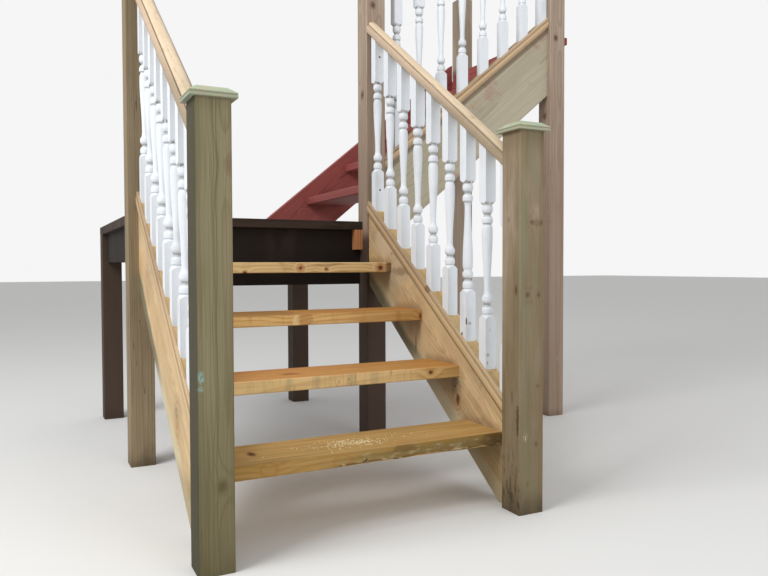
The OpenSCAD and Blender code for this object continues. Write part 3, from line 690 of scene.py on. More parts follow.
class STAIRS_OT_treads(bpy.types.Operator):
    """Dress the four new treads, each with the knots it has"""

    bl_idname = "deck_stairs.treads"
    bl_label = "Lower treads"

    # of each tread: the pith from its middle, the seed of its figure, how much its rings show and
    # how pale its front is
    PINES = (((0, 0.05, -0.075), 1.7, 0.60, 0.0), ((0, 0.16, -0.05), 5.9, 0.65, 0.40),
             ((0, 0.10, -0.09), 9.2, 0.60, 0.50), ((0, 0.03, -0.085), 14.4, 0.50, 0.80))
    # the knots of each: place from its left end, its top and its front, and radii
    KNOTS = (
        [((0.148, 0.0, 0.112), (0.020, 0.040, 0.02))],
        [((0.357, 0.0, 0.090), (0.030, 0.020, 0.03)), ((0.852, 0.017), (0.014, 0.05, 0.011))],
        [((0.962, 0.026), (0.011, 0.03, 0.018))],
        [((0.560, 0.023), (0.015, 0.05, 0.014)), ((0.920, 0.023), (0.020, 0.05, 0.018)),
         ((0.330, 0.039), (0.012, 0.05, 0.008)), ((0.672, 0.028), (0.011, 0.05, 0.009))],
    )
    # where the grain of each swerves, placed the same way
    BENDS = ([((0.175, 0.019), (0.024, 0.05, 0.018))], [],
             [((0.421, 0.004), (0.034, 0.05, 0.024))], [])
    # curls of grain in front of the first tread, from its left end and its top
    CURLS = ((0.165, 0.022), (0.392, 0.026))

    def execute(self, context):
        colours, details = finishes(context)
        looks = (self.first, self.second, self.third, self.fourth)
        for number, (pith, seed, contrast, pale) in enumerate(self.PINES):
            wood = Tread(number + 1, pith, seed)
            for place, radii in self.KNOTS[number]:
                wood.knot(wood.spot(*place), radii)
            for place, radii in self.BENDS[number]:
                wood.bend(wood.spot(*place), radii)
            wood.grow_new(colours, details, contrast, pale)
            looks[number](wood, colours)
            dress("tread_%d" % (number + 1), wood.done(0.75, details.grain_depth))
        return {"FINISHED"}

    def first(self, wood, colours):
        """Dull and stained, with bark left along its lower front edge."""
        wood.stain(wood.front * (wood.span(0.30, 0.80) * 0.42 + 0.50), colours.old_front_and_shade)
        wood.stain(wood.front * 0.5, colours.resin, "MULTIPLY")
        wood.stain(wood.top * 0.14, colours.bark)
        swirl = wood.cloud((24.0, 14.0, 80.0), 4.0, 0.6)
        low_half = (wood.z - swirl * 0.03).between(wood.high.z - 0.020, wood.high.z - 0.034)
        right_part = wood.span(0.25, 0.50) * wood.front
        wood.stain(low_half * right_part * 0.45, colours.olive_tint_and_shade)
        pale = swirl.between(0.50, 0.66) * right_part * (low_half * 0.7 + 0.3)
        wood.stain(pale * 0.28, colours.sapwood)
        for place in self.CURLS:
            curl = wood.reach(wood.spot(*place), (0.026, 0.05, 0.020), 0.9, 30.0)
            wood.stain(abs(curl - 1.0).between(0.32, 0.08) * wood.front * 0.42, colours.tread_ring)
        hook = abs(wood.reach(wood.spot(0.462, 0.025), (0.010, 0.02, 0.010), 0.7, 60.0) - 1.0)
        slant = (wood.x - wood.z * 0.5).between(wood.low.x + 0.351, wood.low.x + 0.357)
        broken = wood.cloud((75.0, 20.0, 75.0), 1.0).between(0.38, 0.50)
        wood.stain(hook.between(0.45, 0.12) * slant * wood.front * broken, colours.knot_rim)
        dirt = wood.patch(wood.spot(0.60, 0.010), (0.045, 0.02, 0.012), 0.9, 40.0)
        wood.stain(dirt * 0.5, colours.bark)
        cut = wood.z.between(wood.low.z + 0.011, wood.low.z + 0.007) * wood.front
        wane = cut * wood.span(0.36, 0.40)
        wood.stain(wane * 0.6, colours.bark)
        wood.stain(wane * swirl.between(0.45, 0.60) * 0.7, colours.pale_wood_and_highlight)
        wood.lift(wane * swirl * -0.8)
        damp = wood.cloud((12.0, 12.0, 30.0)).between(0.3, 0.6)
        wood.stain(wood.span(0.764, 0.924) * wood.front * damp * 0.7, colours.bark)

    def second(self, wood, colours):
        """Orange on top, pale with dark bands in front."""
        wood.stain(wood.top * wood.late * 0.8, colours.knot_collar)
        wood.stain(wood.top * 0.35, colours.knot_collar)
        streaks = wood.cloud((2.2, 55.0, 9.0), 3.0, 0.6) * wood.top
        wood.stain(streaks.between(0.44, 0.58) * wood.span(0.75, 0.35) * 0.6, colours.block_light)
        wood.stain(streaks.between(0.36, 0.46) * streaks.between(0.50, 0.44) * 0.30,
                   colours.pale_wood_and_highlight)
        wood.stain(wood.top * 0.8, colours.resin, "MULTIPLY")
        red = wood.patch(wood.spot(0.357, 0.0, 0.090), (0.040, 0.022, 0.03), 0.9, 50.0)
        wood.stain(red * 0.70, colours.block_ring)
        wood.stain(wood.top * wood.span(0.16, 0.0) * 0.45, colours.pale_wood_and_highlight)
        short = wood.span(0.84, 0.74)
        wood.stain(wood.front * short * 0.45, colours.pale_wood_and_highlight)
        bands = wood.cloud((26.0, 3.0, 3.0), 3.0, 0.6).between(0.48, 0.66)
        wood.stain(bands * wood.front * wood.span(0.14, 0.24) * short * 0.40,
                   colours.left_post_light)
        lines = abs(wood.cloud((40.0, 3.0, 6.0), 1.0) - 0.5).between(0.020, 0.005)
        wood.stain(lines * wood.front * wood.span(0.38, 0.48) * short * 0.40, colours.bark)

    def third(self, wood, colours):
        """Honey coloured, with a pale swirl and a dark one left of its middle."""
        wood.stain(wood.top * 0.45, colours.knot_collar)
        wood.stain(wood.top * 0.30, colours.tread_ring)
        wood.stain(wood.top * 0.3 + 0.4, colours.resin, "MULTIPLY")
        pale = wood.patch(wood.spot(0.443, 0.026), (0.014, 0.02, 0.028), 0.8)
        wood.stain(pale * 0.8, colours.pale_wood_and_highlight)
        shade = wood.patch(wood.spot(0.478, 0.022), (0.030, 0.02, 0.024), 0.8, 40.0)
        wood.stain(shade * 0.46, colours.tread_ring)
        wood.stain(wood.top * wood.span(0.52, 0.40) * 0.42, colours.bark)
        wood.stain(wood.front * wood.span(0.62, 0.74) * 0.30, colours.tread_ring)
        bands = wood.cloud((22.0, 3.0, 4.0)).between(0.50, 0.70)
        wood.stain(bands * 0.45, colours.tread_ring)

    def fourth(self, wood, colours):
        """The palest, with two big knots and two small ones in front, and a dark end."""
        wood.stain(wood.knots.between(1.5, 0.9) * wood.front * 0.5, colours.block_light)
        wood.stain(wood.knots.between(0.60, 0.35) * wood.front * 0.8, colours.knot_heart)
        halo = abs(wood.knots - 1.7).between(0.35, 0.10)
        wood.stain(halo * wood.front * 0.7, colours.pale_wood_and_highlight)
        dark = wood.figure((6.0, 60.0, 90.0), 3.0, 0.6).between(0.56, 0.66)
        wood.stain(dark * wood.front * wood.span(0.56, 0.66) * 0.45, colours.bark)
        mottle = wood.cloud((16.0, 6.0, 26.0), 3.0).between(0.52, 0.74)
        wood.stain(mottle * wood.front * 0.40, colours.tread_ring)
        wood.stain(wood.front * wood.span(0.34, 0.0) * 0.24, colours.tread_ring)
        wood.stain(wood.span(0.938, 0.954) * wood.front * 0.70, colours.knot_heart)


class Stringer(Timber):
    """Honey pine, with marks on its inner face, back and up from the first tread's nose."""

    def __init__(self, node, seed):
        super().__init__("stringer pine " + str(seed), middle(node) + Vector((0.06, 0, 0.02)),
                         LOWER_SLOPE, ACROSS)
        self.low, self.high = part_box(node)
        self.inner = self.low.x if node.startswith("right") else self.high.x
        self.swirl = 1.6

    def spot(self, back, up):
        return self.inner, NOSE.y + back, NOSE.z + up


class STAIRS_OT_stringers(bpy.types.Operator):
    """Dress the lower stringers with honey pine, a big knot, an olive lower edge that is painted
    shade higher up, and painted shade under the treads and the base rail
    """

    bl_idname = "deck_stairs.stringers"
    bl_label = "Lower stringers"

    BIG_KNOT = (0.275, 0.065)
    SMALL_KNOT = (0.294, 0.111)
    # dark hoops of grain round the big knot: size and strength
    WHIRL = ((1.0, 0.42), (1.35, 0.34), (1.75, 0.26), (2.15, 0.18))
    # blotches near the head: place, radii and strength
    BLOTCHES = (((0.726, 0.531), (0.05, 0.080, 0.020), 0.65),
                ((0.796, 0.607), (0.05, 0.012, 0.007), 0.60),
                ((0.644, 0.531), (0.05, 0.030, 0.012), 0.55))

    def execute(self, context):
        colours, details = finishes(context)
        for node, seed in (("right_stringer", 2.4), ("left_stringer", 8.8)):
            wood = Stringer(node, seed)
            self.pine(wood, seed, colours, details)
            self.round_knot(wood, colours)
            wood.show_knots(colours.knot_heart, colours.knot_rim, colours.knot_collar)
            self.lower_edge(wood, colours)
            self.head(wood, colours)
            # painted shade under and over every tread
            self.damp(wood, colours)
            self.late_marks(wood, colours)
            dress(node, wood.done(0.62, details.grain_depth))
        return {"FINISHED"}

    def pine(self, wood, seed, colours, details):
        wood.knot(wood.spot(*self.BIG_KNOT), (0.05, 0.020, 0.036))
        wood.knot(wood.spot(*self.SMALL_KNOT), (0.03, 0.010, 0.010))
        wood.bend(wood.spot(0.278, 0.077), (0.05, 0.050, 0.070))
        wood.bend(wood.spot(0.743, 0.441), (0.05, 0.060, 0.060))
        wood.scatter_knots(cell=0.40, radius=0.012, girth=0.12, seed=seed)
        wood.grow(colours.stringer_light, colours.stringer_ring, details.ring_spacing * 1.6,
                  wander=0.10, taper=0.03, contrast=0.42, fibre=0.42)
        wood.fine_lines(1.6, colours.stringer_ring, 0.30, colours.pale_wood_and_highlight)
        blots = wood.cloud(5.0, 4.0, 0.65)
        wood.stain(blots.between(0.50, 0.66) * 0.36, colours.tall_post_ring)
        wood.stain(blots.between(0.46, 0.36) * 0.30, colours.pale_wood_and_highlight)

    def round_knot(self, wood, colours):
        """Orange and grey wood round the two knots, in a whirl of dark grain."""
        orange = wood.patch(wood.spot(*self.BIG_KNOT), (0.05, 0.028, 0.052), 0.6)
        wood.stain(orange * 0.40, colours.block_light)
        grey = wood.patch(wood.spot(0.290, 0.111), (0.05, 0.034, 0.036), 0.9, 30.0)
        wood.stain(grey * 0.70, colours.left_post_light)
        curl = wood.reach(wood.spot(0.280, 0.081), (0.05, 0.024, 0.042), 0.5, 24.0)
        for size, amount in self.WHIRL:
            wood.stain(abs(curl - size).between(0.15, 0.03) * amount, colours.bark)

    def lower_edge(self, wood, colours):
        """Sapwood, darkened olive higher up as painted shade."""
        sapwood = (wood.over(NOSE, LOWER_NORMAL) + wood.cloud(4.0) * 0.05).between(-0.115, -0.150)
        wood.stain(sapwood * 0.8, colours.sapwood)
        # painted shade: the sapwood darkened olive higher up, under the upper treads
        wood.stain(sapwood * wood.z.between(0.36, 0.50) * 0.88, colours.olive_tint_and_shade)

    def head(self, wood, colours):
        """Pinkish and blotched beside the upper treads, pale at the landing."""
        warm = wood.patch(wood.spot(0.744, 0.539), (0.06, 0.10, 0.08), 0.7, 14.0)
        wood.stain(warm * 0.32, colours.tall_post_light)
        for place, radii, amount in self.BLOTCHES:
            soft = wood.patch(wood.spot(*place), radii, 1.2, 40.0, (1.3, 0.4))
            wood.stain(soft * amount, colours.tall_post_ring)
        pale = wood.patch(wood.spot(0.864, 0.659), (0.06, 0.11, 0.09), 0.7, 14.0, (1.3, 0.4))
        wood.stain(pale * 0.45, colours.hand_light)

    def damp(self, wood, colours):
        """Painted shade on the inner face, below and above every tread."""
        # painted shade: dark bands where the treads shade the inner face
        inside = abs(wood.x - wood.inner).between(0.012, 0.006)
        for number in (1, 2, 3, 4):
            low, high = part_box("tread_%d" % number)
            below = (wood.z.between(low.z - 0.110, low.z - 0.005)
                     * wood.z.between(low.z + 0.020, low.z))
            above = (wood.z.between(high.z + 0.035, high.z)
                     * wood.z.between(high.z - 0.02, high.z))
            reach = wood.y.between(low.y, low.y + 0.03) * wood.y.between(high.y + 0.03, high.y)
            wood.stain((below + above * 0.6) * reach * inside * 0.58, colours.bark)

    def late_marks(self, wood, colours):
        """An olive patch, a dark hook, painted shadow and dirt under the base rail, dirt at the
        foot, and cracks.
        """
        olive = wood.patch(wood.spot(0.804, 0.449), (0.05, 0.08, 0.07), 0.8, 20.0, (1.4, 0.5))
        wood.stain(olive * 0.35, colours.left_post_light)
        hook = wood.patch(wood.spot(0.588, 0.237), (0.05, 0.006, 0.040), 1.2, 40.0)
        wood.stain(hook * 0.5, colours.knot_rim)
        # painted shadow and dirt: a dark band just below the base rail's overhang
        rail_shadow_and_dirt = wood.over(wood.high, LOWER_NORMAL).between(-0.0145, -0.0090)
        wood.stain(rail_shadow_and_dirt * 0.90, colours.old_front_and_shade)
        wood.stain(wood.z.between(0.22, 0.16) * 0.42, colours.old_front_and_shade)
        wood.checks(wood.cloud(5.0, 1.0).between(0.52, 0.66) * 0.6, colours.knot_rim,
                    fineness=30.0, width=0.006)


# Rails, fillets and spindles

# how many spindles stand in each row
SPINDLES = {"left": 9, "right": 9, "upper": 8}


def spindle_row(side):
    """Middle of a row's first spindle along the flight, the pitch, and a spindle's width."""
    axis = BALUSTRADES[side].axis
    low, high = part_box(side + "_spindles")
    width = (high - low)[1 - axis]
    return low[axis] + width / 2, (high[axis] - low[axis] - width) / (SPINDLES[side] - 1), width


class STAIRS_OT_rails(bpy.types.Operator):
    """Dress the base rails and handrails with planed pine, with dirt in their quirks"""

    bl_idname = "deck_stairs.rails"
    bl_label = "Rails"

    # half the distance between a rail's quirks, and their height over its underside
    QUIRKS = {"base_rail": (0.0285, 0.0300), "handrail": (0.0205, 0.0290)}
    # knots: from the rail's left side, back and up from the first tread's nose, and radii
    KNOTS = {"right_handrail": (((0.027, 0.206, 1.075), (0.012, 0.014, 0.02)),),
             "right_base_rail": (((0.0, 0.478, 0.475), (0.03, 0.030, 0.022)),
                                 ((0.0, 0.900, 0.786), (0.03, 0.018, 0.016)))}
    # dirt round the first of the base rail's knots, placed the same way
    DIRT = (0.0, 0.484, 0.463)

    def execute(self, context):
        colours, details = finishes(context)
        for part, light, ring, contrast in (
                ("base_rail", colours.rail_light, colours.rail_ring, 0.7),
                ("handrail", colours.hand_light, colours.hand_ring, 0.55)):
            for side, flight in BALUSTRADES.items():
                node = side + "_" + part
                wood = self.pine(node, flight)
                wood.grow(light, ring, details.ring_spacing * 0.8, wander=0.02, taper=0.02,
                          contrast=contrast, fibre=0.16)
                wood.show_knots(colours.knot_heart, colours.knot_rim, colours.knot_collar)
                if node == "right_base_rail":
                    dirt = wood.patch(self.spot(node, self.DIRT), (0.02, 0.024, 0.018), 0.9, 40.0)
                    wood.stain(dirt * 0.65, colours.bark)
                self.wear(wood, part, node, flight, ring, colours)
                dress(node, wood.done(0.6, details.grain_depth * 0.6))
        return {"FINISHED"}

    def spot(self, node, place):
        aside, back, up = place
        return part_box(node)[0].x + aside, NOSE.y + back, NOSE.z + up

    def pine(self, node, flight):
        wood = Timber(node + " pine", middle(node) + UP * 0.05 + flight.across * 0.03,
                      flight.slope, flight.across)
        wood.scatter_knots(cell=0.34, radius=0.008, girth=0.05, seed=4.0 + len(node))
        for place, radii in self.KNOTS.get(node, ()):
            wood.knot(self.spot(node, place), radii)
        return wood

    def wear(self, wood, part, node, flight, ring, colours):
        """Grey and speckled, darker along the lower edge as painted shade, with dirt and painted
        shade in the quirks, and a painted highlight along a base rail's side.
        """
        worn = wood.figure((1.2, 8.0, 8.0)).between(0.5, 0.75)
        wood.stain(worn * 0.22, colours.right_post_light)
        mottle = wood.cloud(40.0, 3.0, 0.6).between(0.52, 0.72)
        wood.stain(mottle * 0.25, colours.tall_post_ring)
        width, height = self.QUIRKS[part]
        over = wood.over(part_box(node)[0], flight.normal)
        wood.stain(over.between(height, height - 0.004) * 0.20, ring)
        # painted shade: darker along the lower edge of every rail
        wood.stain(over.between(0.016, 0.002) * 0.30, colours.tall_post_ring)
        if part == "handrail":
            self.sky_light_and_flecks(wood, over, height, colours)
        else:
            # painted highlight: a pale band along the base rail's rounded side
            shine = abs(over - height + 0.009).between(0.008, 0.002)
            wood.stain(shine * 0.45, colours.pale_wood_and_highlight)
            wood.stain(wood.z.between(0.80, 0.55) * 0.30, colours.pale_wood_and_highlight)
        beside = (wood.y, wood.x)[flight.axis] - middle(node).dot(flight.across)
        # dirt and painted shade in the quirks
        deep = abs(over - height).between(0.0038, 0.0018)
        dirt = abs(abs(beside) - width).between(0.0034, 0.0020) * deep
        wood.stain(dirt * 0.42, colours.bark)

    def sky_light_and_flecks(self, wood, over, height, colours):
        """A handrail's crown painted pale as a highlight and its sides darker as painted shade,
        with flecks, and sides that darken towards its foot.
        """
        wood.stain(wood.z.between(1.55, 1.22) * 0.22, colours.tall_post_ring)
        # painted shade: the sides darker than the crown
        flank = over.between(height + 0.002, height - 0.004)
        wood.stain(flank * 0.25, colours.tall_post_light)
        wood.stain(flank * wood.z.between(1.62, 1.40) * 0.50, colours.right_post_light)
        wood.stain(wood.z.between(1.41, 1.33) * 0.38, colours.right_post_light)
        # painted highlight: the crown paler
        wood.stain(over.between(height, height + 0.006) * 0.35, colours.crown)
        fleck = wood.figure((12.0, 130.0, 130.0), 3.0, 0.6).between(0.54, 0.70)
        wood.stain(fleck * 0.30, colours.tall_post_ring)


class STAIRS_OT_fillets(bpy.types.Operator):
    """Dress the fillets between the spindles with yellow pine"""

    bl_idname = "deck_stairs.fillets"
    bl_label = "Fillets"

    def execute(self, context):
        colours, details = finishes(context)
        for side, flight in BALUSTRADES.items():
            node = side + "_fillets"
            pitch = spindle_row(side)[1]
            wood = Timber(node + " pine", middle(node) + UP * 0.3, flight.slope, flight.across,
                          (flight.axis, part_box(node)[0][flight.axis], pitch))
            wood.grow(colours.fillet_light, colours.fillet_ring, details.ring_spacing * 0.8,
                      wander=0.02, taper=0.02, contrast=0.7)
            specks = wood.cloud(90.0, 4.0, 0.65).between(0.55, 0.70)
            wood.stain(specks * 0.50, colours.bark)
            dress(node, wood.done(0.6, details.grain_depth * 0.6))
        return {"FINISHED"}


class STAIRS_OT_spindles(bpy.types.Operator):
    """Dress the turned spindles with white paint, with dirt and painted shade in the grooves, brush
    marks and chips
    """

    bl_idname = "deck_stairs.spindles"
    bl_label = "Spindles"

    # a spindle's bottom square from its foot in the groove, and its turned part
    SQUARE_TOP = 0.182
    TURNED = 0.381
    # its two necks and the nipped corners over them, as shares of the turned part
    LOWER_NECK = (0.165, 0.158)
    UPPER_NECK = (0.812, 0.818)
    NIPPED = ((1.030, 1.005), (0.995, 1.0))
    # radius of a neck, where the dirt is clear and full
    NECK_RADIUS = (0.0172, 0.0135)
    # flaws in the right row's paint: from its low corner, radii and strength
    FLAWS = (((0.001, 0.243, 0.254), (0.004, 0.004, 0.014), 1.0),
             ((0.016, 0.243, 0.246), (0.008, 0.005, 0.006), 0.45),
             ((0.000, 0.270, 0.206), (0.004, 0.006, 0.008), 0.9),
             ((0.009, 0.122, 0.145), (0.006, 0.005, 0.006), 0.45),
             ((0.007, 0.122, 0.118), (0.003, 0.005, 0.007), 0.5),
             ((0.018, 0.122, 0.232), (0.006, 0.005, 0.008), 0.12))

    def execute(self, context):
        colours, details = finishes(context)
        for side, flight in BALUSTRADES.items():
            paint = Finish(side + " spindle paint")
            self.brushed(paint, colours)
            necks, nips = self.necks(paint, side, flight)
            # dirt and painted shade in the necks and under the upper squares
            paint.stain(necks * 0.5, colours.grime_and_shade)
            paint.stain(nips * 0.8, colours.chip_and_shade)
            chips = self.chips(paint, side)
            paint.stain(chips, colours.chip_and_shade)
            paint.height = paint.height - chips
            dress(side + "_spindles", paint.done(0.42, details.grain_depth * 0.5))
        return {"FINISHED"}

    def brushed(self, paint, colours):
        """Brush marks and faint dirt."""
        paint.colour = paint.mix(paint.cloud((30.0, 30.0, 4.0), 3.0) * 0.10, colours.paint,
                                 colours.grime_and_shade)
        streaks = paint.cloud((260.0, 260.0, 9.0))
        paint.stain(streaks.between(0.60, 0.85) * 0.14, colours.grime_and_shade)
        damp = paint.cloud((9.0, 9.0, 5.0), 3.0).between(0.54, 0.74)
        paint.stain(damp * 0.16, colours.grime_and_shade)
        paint.height = streaks * 0.5

    def necks(self, paint, side, flight):
        """Dirt and painted shade where the turned part is cut to a narrow neck, and under the upper
        squares.
        """
        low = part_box(side + "_spindles")[0]
        first, pitch, width = spindle_row(side)
        place, aside = (paint.x, paint.y)[flight.axis], (paint.y, paint.x)[flight.axis]
        number = paint.maths("ROUND", (place - first) / pitch)
        along = place - number * pitch - first
        beside = aside - (low[1 - flight.axis] + width / 2)
        radius = paint.maths("SQRT", along * along + beside * beside)
        slope = flight.step.z / flight.step[flight.axis]
        base = low.z + slope * width / 2 + self.SQUARE_TOP
        height = (paint.z - number * (pitch * slope) - base) / self.TURNED
        ends = height.between(*self.LOWER_NECK) + height.between(*self.UPPER_NECK)
        nips = height.between(*self.NIPPED[0]) * height.between(*self.NIPPED[1])
        scraps = paint.cloud(90.0).between(0.35, 0.6)
        return radius.between(*self.NECK_RADIUS) * ends, nips * scraps

    def chips(self, paint, side):
        """Small chips here and there, and the flaws that show in the right row."""
        flaws = paint.cloud((150.0, 150.0, 60.0), 2.0, 0.6).between(0.70, 0.74)
        chips = flaws * paint.cloud((7.0, 7.0, 5.0), 1.0).between(0.66, 0.76)
        if side == "right":
            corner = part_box("right_spindles")[0]
            for place, radii, amount in self.FLAWS:
                spot = paint.patch(corner + Vector(place), radii, 0.9, 140.0)
                chips = paint.maths("MAXIMUM", chips, spot * amount)
        return chips


# Landing and upper flight


class STAIRS_OT_landing(bpy.types.Operator):
    """Dress the landing's boards, beams, joists and packing block"""

    bl_idname = "deck_stairs.landing"
    bl_label = "Landing"

    def execute(self, context):
        colours, details = finishes(context)
        self.boards(colours, details)
        self.beams(colours, details)
        self.block(colours, details)
        return {"FINISHED"}

    def boards(self, colours, details):
        low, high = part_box("landing_front_board")
        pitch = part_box("landing_boards")[0].y - low.y
        gap = pitch - (high.y - low.y)
        wood = Timber("landing board", middle("landing_boards") + Vector((0, 0, -0.09)), ACROSS,
                      BACK, (1, low.y - gap / 2, pitch))
        wood.scatter_knots(cell=0.30, radius=0.011, girth=0.09, seed=6.0)
        # the near-black board colours are partly painted shade under the landing
        wood.grow(colours.board_wood_and_shade, colours.board_ring, details.ring_spacing, wander=0.03,
                  taper=0.01, contrast=0.7)
        wood.show_knots(colours.beam_ring, colours.beam_ring, colours.board_wood_and_shade)
        silver = wood.figure((1.5, 20.0, 20.0), 3.0).between(0.5, 0.75)
        wood.stain(silver * 0.30, colours.left_post_ring)
        wood.checks(wood.cloud((3.0, 5.0, 5.0), 1.0).between(0.5, 0.64),
                    colours.beam_ring)
        material = wood.done(0.78, details.grain_depth)
        for node in ("landing_front_board", "landing_boards"):
            dress(node, material)

    def beams(self, colours, details):
        for seed, (node, along, side) in enumerate((
                ("landing_front_beam", ACROSS, BACK), ("landing_rear_beam", ACROSS, BACK),
                ("landing_left_beam", BACK, ACROSS), ("landing_right_beam", BACK, ACROSS),
                ("landing_joists", BACK, ACROSS))):
            wood = Timber("dark beam %d" % seed, middle(node) + Vector((0.02, 0.06, -0.05)),
                          along, side)
            wood.scatter_knots(cell=0.28, radius=0.011, girth=0.1, seed=3.0 * seed)
            # the near-black beam colours are partly painted shade under the landing
            wood.grow(colours.beam_light, colours.beam_ring, details.ring_spacing, wander=0.04,
                      taper=0.01, contrast=0.7)
            wood.show_knots(colours.beam_ring, colours.beam_ring, colours.board_wood_and_shade)
            earth = wood.cloud((8.0, 8.0, 3.0), 3.0).between(0.5, 0.75)
            wood.stain(earth * 0.35, colours.board_wood_and_shade)
            dress(node, wood.done(0.8, details.grain_depth))

    def block(self, colours, details):
        wood = Timber("packing block", middle("packing_block") + Vector((0.03, 0.04, 0)), UP,
                      ACROSS)
        wood.grow(colours.block_light, colours.block_ring, details.ring_spacing * 0.7,
                  wander=0.01, taper=0.02)
        dress("packing_block", wood.done(0.65, details.grain_depth))


class STAIRS_OT_upper_flight(bpy.types.Operator):
    """Dress the upper flight's red treads and its red and tan stringers"""

    bl_idname = "deck_stairs.upper_flight"
    bl_label = "Upper flight"

    def execute(self, context):
        colours, details = finishes(context)
        self.red(colours, details)
        self.tan(colours, details)
        return {"FINISHED"}

    def red(self, colours, details):
        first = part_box("upper_tread_1")
        jobs = [(["upper_tread_%d" % k for k in (1, 2, 3, 4)], BACK, ACROSS,
                 (0, first[0].x - 0.005, UPPER_STEP.x)),
                (["upper_edge_board", "upper_edge_beam"], BACK, ACROSS, None),
                (["upper_far_stringer"], UPPER_SLOPE, BACK, None)]
        for number, (nodes, along, side, boards) in enumerate(jobs):
            wood = Timber("red stain %d" % number, middle(nodes[0]) + Vector((0.03, 0.03, -0.08)),
                          along, side, boards)
            wood.scatter_knots(cell=0.28, radius=0.011, girth=0.1, seed=5.0 + number)
            wood.grow(colours.red_light, colours.red_ring, details.ring_spacing, wander=0.04,
                      taper=0.012, contrast=0.6)
            wood.show_knots(colours.red_ring, colours.knot_rim, colours.red_light)
            worn = wood.cloud(6.0, 4.0, 0.6)
            wood.stain(worn.between(0.60, 0.78) * 0.35, colours.right_post_ring)
            material = wood.done(0.62, details.grain_depth)
            for node in nodes:
                dress(node, material)

    def tan(self, colours, details):
        node = "upper_near_stringer"
        low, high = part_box(node)
        wood = Timber("upper stringer pine", middle(node) + Vector((0, 0.05, 0.03)), UPPER_SLOPE,
                      BACK)
        wood.scatter_knots(cell=0.26, radius=0.012, girth=0.1, seed=31.0)
        wood.grow(colours.tan_light, colours.tan_ring, details.ring_spacing, wander=0.05,
                  taper=0.015, contrast=0.65)
        wood.show_knots(colours.knot_heart, colours.knot_rim, colours.knot_collar)
        old_stain = wood.cloud((5.0, 5.0, 7.0), 4.0, 0.6).between(0.56, 0.66)
        foot = wood.x.between(low.x + 0.11, low.x + 0.51)
        wood.stain(old_stain * foot * 0.30, colours.red_light)
        shade = wood.over(high, UPPER_NORMAL).between(-0.026, -0.016)
        wood.stain(shade * 0.55, colours.bark)
        dress(node, wood.done(0.66, details.grain_depth))


# What lies on the timbers


def finished_piece(shape, name, material):
    """Makes an object of a bmesh that is already in place, and fixes it to the stair."""
    bmesh.ops.recalc_face_normals(shape, faces=shape.faces)
    mesh = bpy.data.meshes.new(name)
    shape.to_mesh(mesh)
    shape.free()
    mesh.materials.append(material)
    piece = bpy.data.objects.new(name, mesh)
    bpy.context.scene.collection.objects.link(piece)
    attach(piece, "root")


def add_screw(shape, place, details, outwards):
    """Screw head with a round recess, standing a little proud of its board."""
    radius, height = details.screw_radius, details.screw_height
    turn = UP.rotation_difference(outwards).to_matrix().to_4x4()
    seat = Matrix.Translation(place + outwards * (height / 2)) @ turn
    made = bmesh.ops.create_cone(shape, cap_ends=True, segments=16, radius1=radius,
                                 radius2=radius * 0.92, depth=height, matrix=seat)
    top = max((face for vert in made["verts"] for face in vert.link_faces),
              key=lambda face: face.calc_center_median().dot(outwards))
    bmesh.ops.inset_individual(shape, faces=[top], thickness=radius * 0.45)
    bmesh.ops.translate(shape, verts=top.verts, vec=outwards * -height * 0.7)


class STAIRS_OT_screws(bpy.types.Operator):
    """Drive screws through the landing boards at each joist, the edge board and the last spindle"""

    bl_idname = "deck_stairs.screws"
    bl_label = "Screws"

    # pairs in the edge board, the first and last from its ends, and half a pair's spread
    PAIRS = 4
    MARGIN = 0.06
    SPREAD = 0.010
    # the last spindle's two screws: heights over the ground, and a share of its width
    HEIGHTS = (1.1344, 1.7256)
    ASIDE = 0.52

    def execute(self, context):
        colours, details = finishes(context)
        zinc = self.metal("zinc screw", colours.steel, colours.chip_and_shade, details)
        dark = self.metal("dark screw", colours.dark_screw, colours.dark_screw, details)
        shape = bmesh.new()
        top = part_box("landing_boards")[1].z
        for across in self.joist_lines():
            for low, high in self.board_edges():
                for back in (low + details.screw_inset, high - details.screw_inset):
                    add_screw(shape, Vector((across, back, top)), details, UP)
        finished_piece(shape, "landing_screws", zinc)
        self.edge_screws(details, zinc)
        self.spindle_screws(details, dark)
        return {"FINISHED"}

    def metal(self, name, bright, worn, details):
        metal = Finish(name)
        dull = metal.cloud(300.0)
        metal.colour = metal.mix(dull.between(0.4, 0.7) * 0.6, bright, worn)
        metal.height = dull
        return metal.done(0.45, details.grain_depth * 0.2, 0.85)

    def joist_lines(self):
        """Where the boards cross the side beams and the joists, which are as thick."""
        joists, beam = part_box("landing_joists"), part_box("landing_left_beam")
        half = (beam[1].x - beam[0].x) / 2
        first, last = joists[0].x + half, joists[1].x - half
        return [middle("landing_left_beam").x, first, (first + last) / 2, last,
                middle("landing_right_beam").x]

    def board_edges(self):
        """Front and back edge of every board behind the newels."""
        low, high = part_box("landing_boards")
        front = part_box("landing_front_board")
        pitch, width = low.y - front[0].y, front[1].y - front[0].y
        rows = round((high.y - low.y + pitch - width) / pitch)
        return [(low.y + row * pitch, low.y + row * pitch + width) for row in range(rows)]

    def edge_screws(self, details, zinc):
        board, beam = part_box("upper_edge_board"), middle("upper_edge_beam")
        shape = bmesh.new()
        run = board[1].y - board[0].y - 2 * self.MARGIN
        for pair in range(self.PAIRS):
            back = board[0].y + self.MARGIN + run * pair / (self.PAIRS - 1)
            for shift in (-self.SPREAD, self.SPREAD):
                add_screw(shape, Vector((beam.x + shift, back + shift, board[1].z)), details, UP)
        finished_piece(shape, "edge_board_screws", zinc)

    def spindle_screws(self, details, dark):
        """Two screws in the front of the last spindle of the lower flight."""
        low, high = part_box("right_spindles")
        side = high.x - low.x
        front = high.y - side
        shape = bmesh.new()
        for height in self.HEIGHTS:
            add_screw(shape, Vector((low.x + side * self.ASIDE, front, height)), details, -BACK)
        finished_piece(shape, "spindle_screws", dark)


def within(value, limits):
    return min(max(value, limits[0]), limits[1])


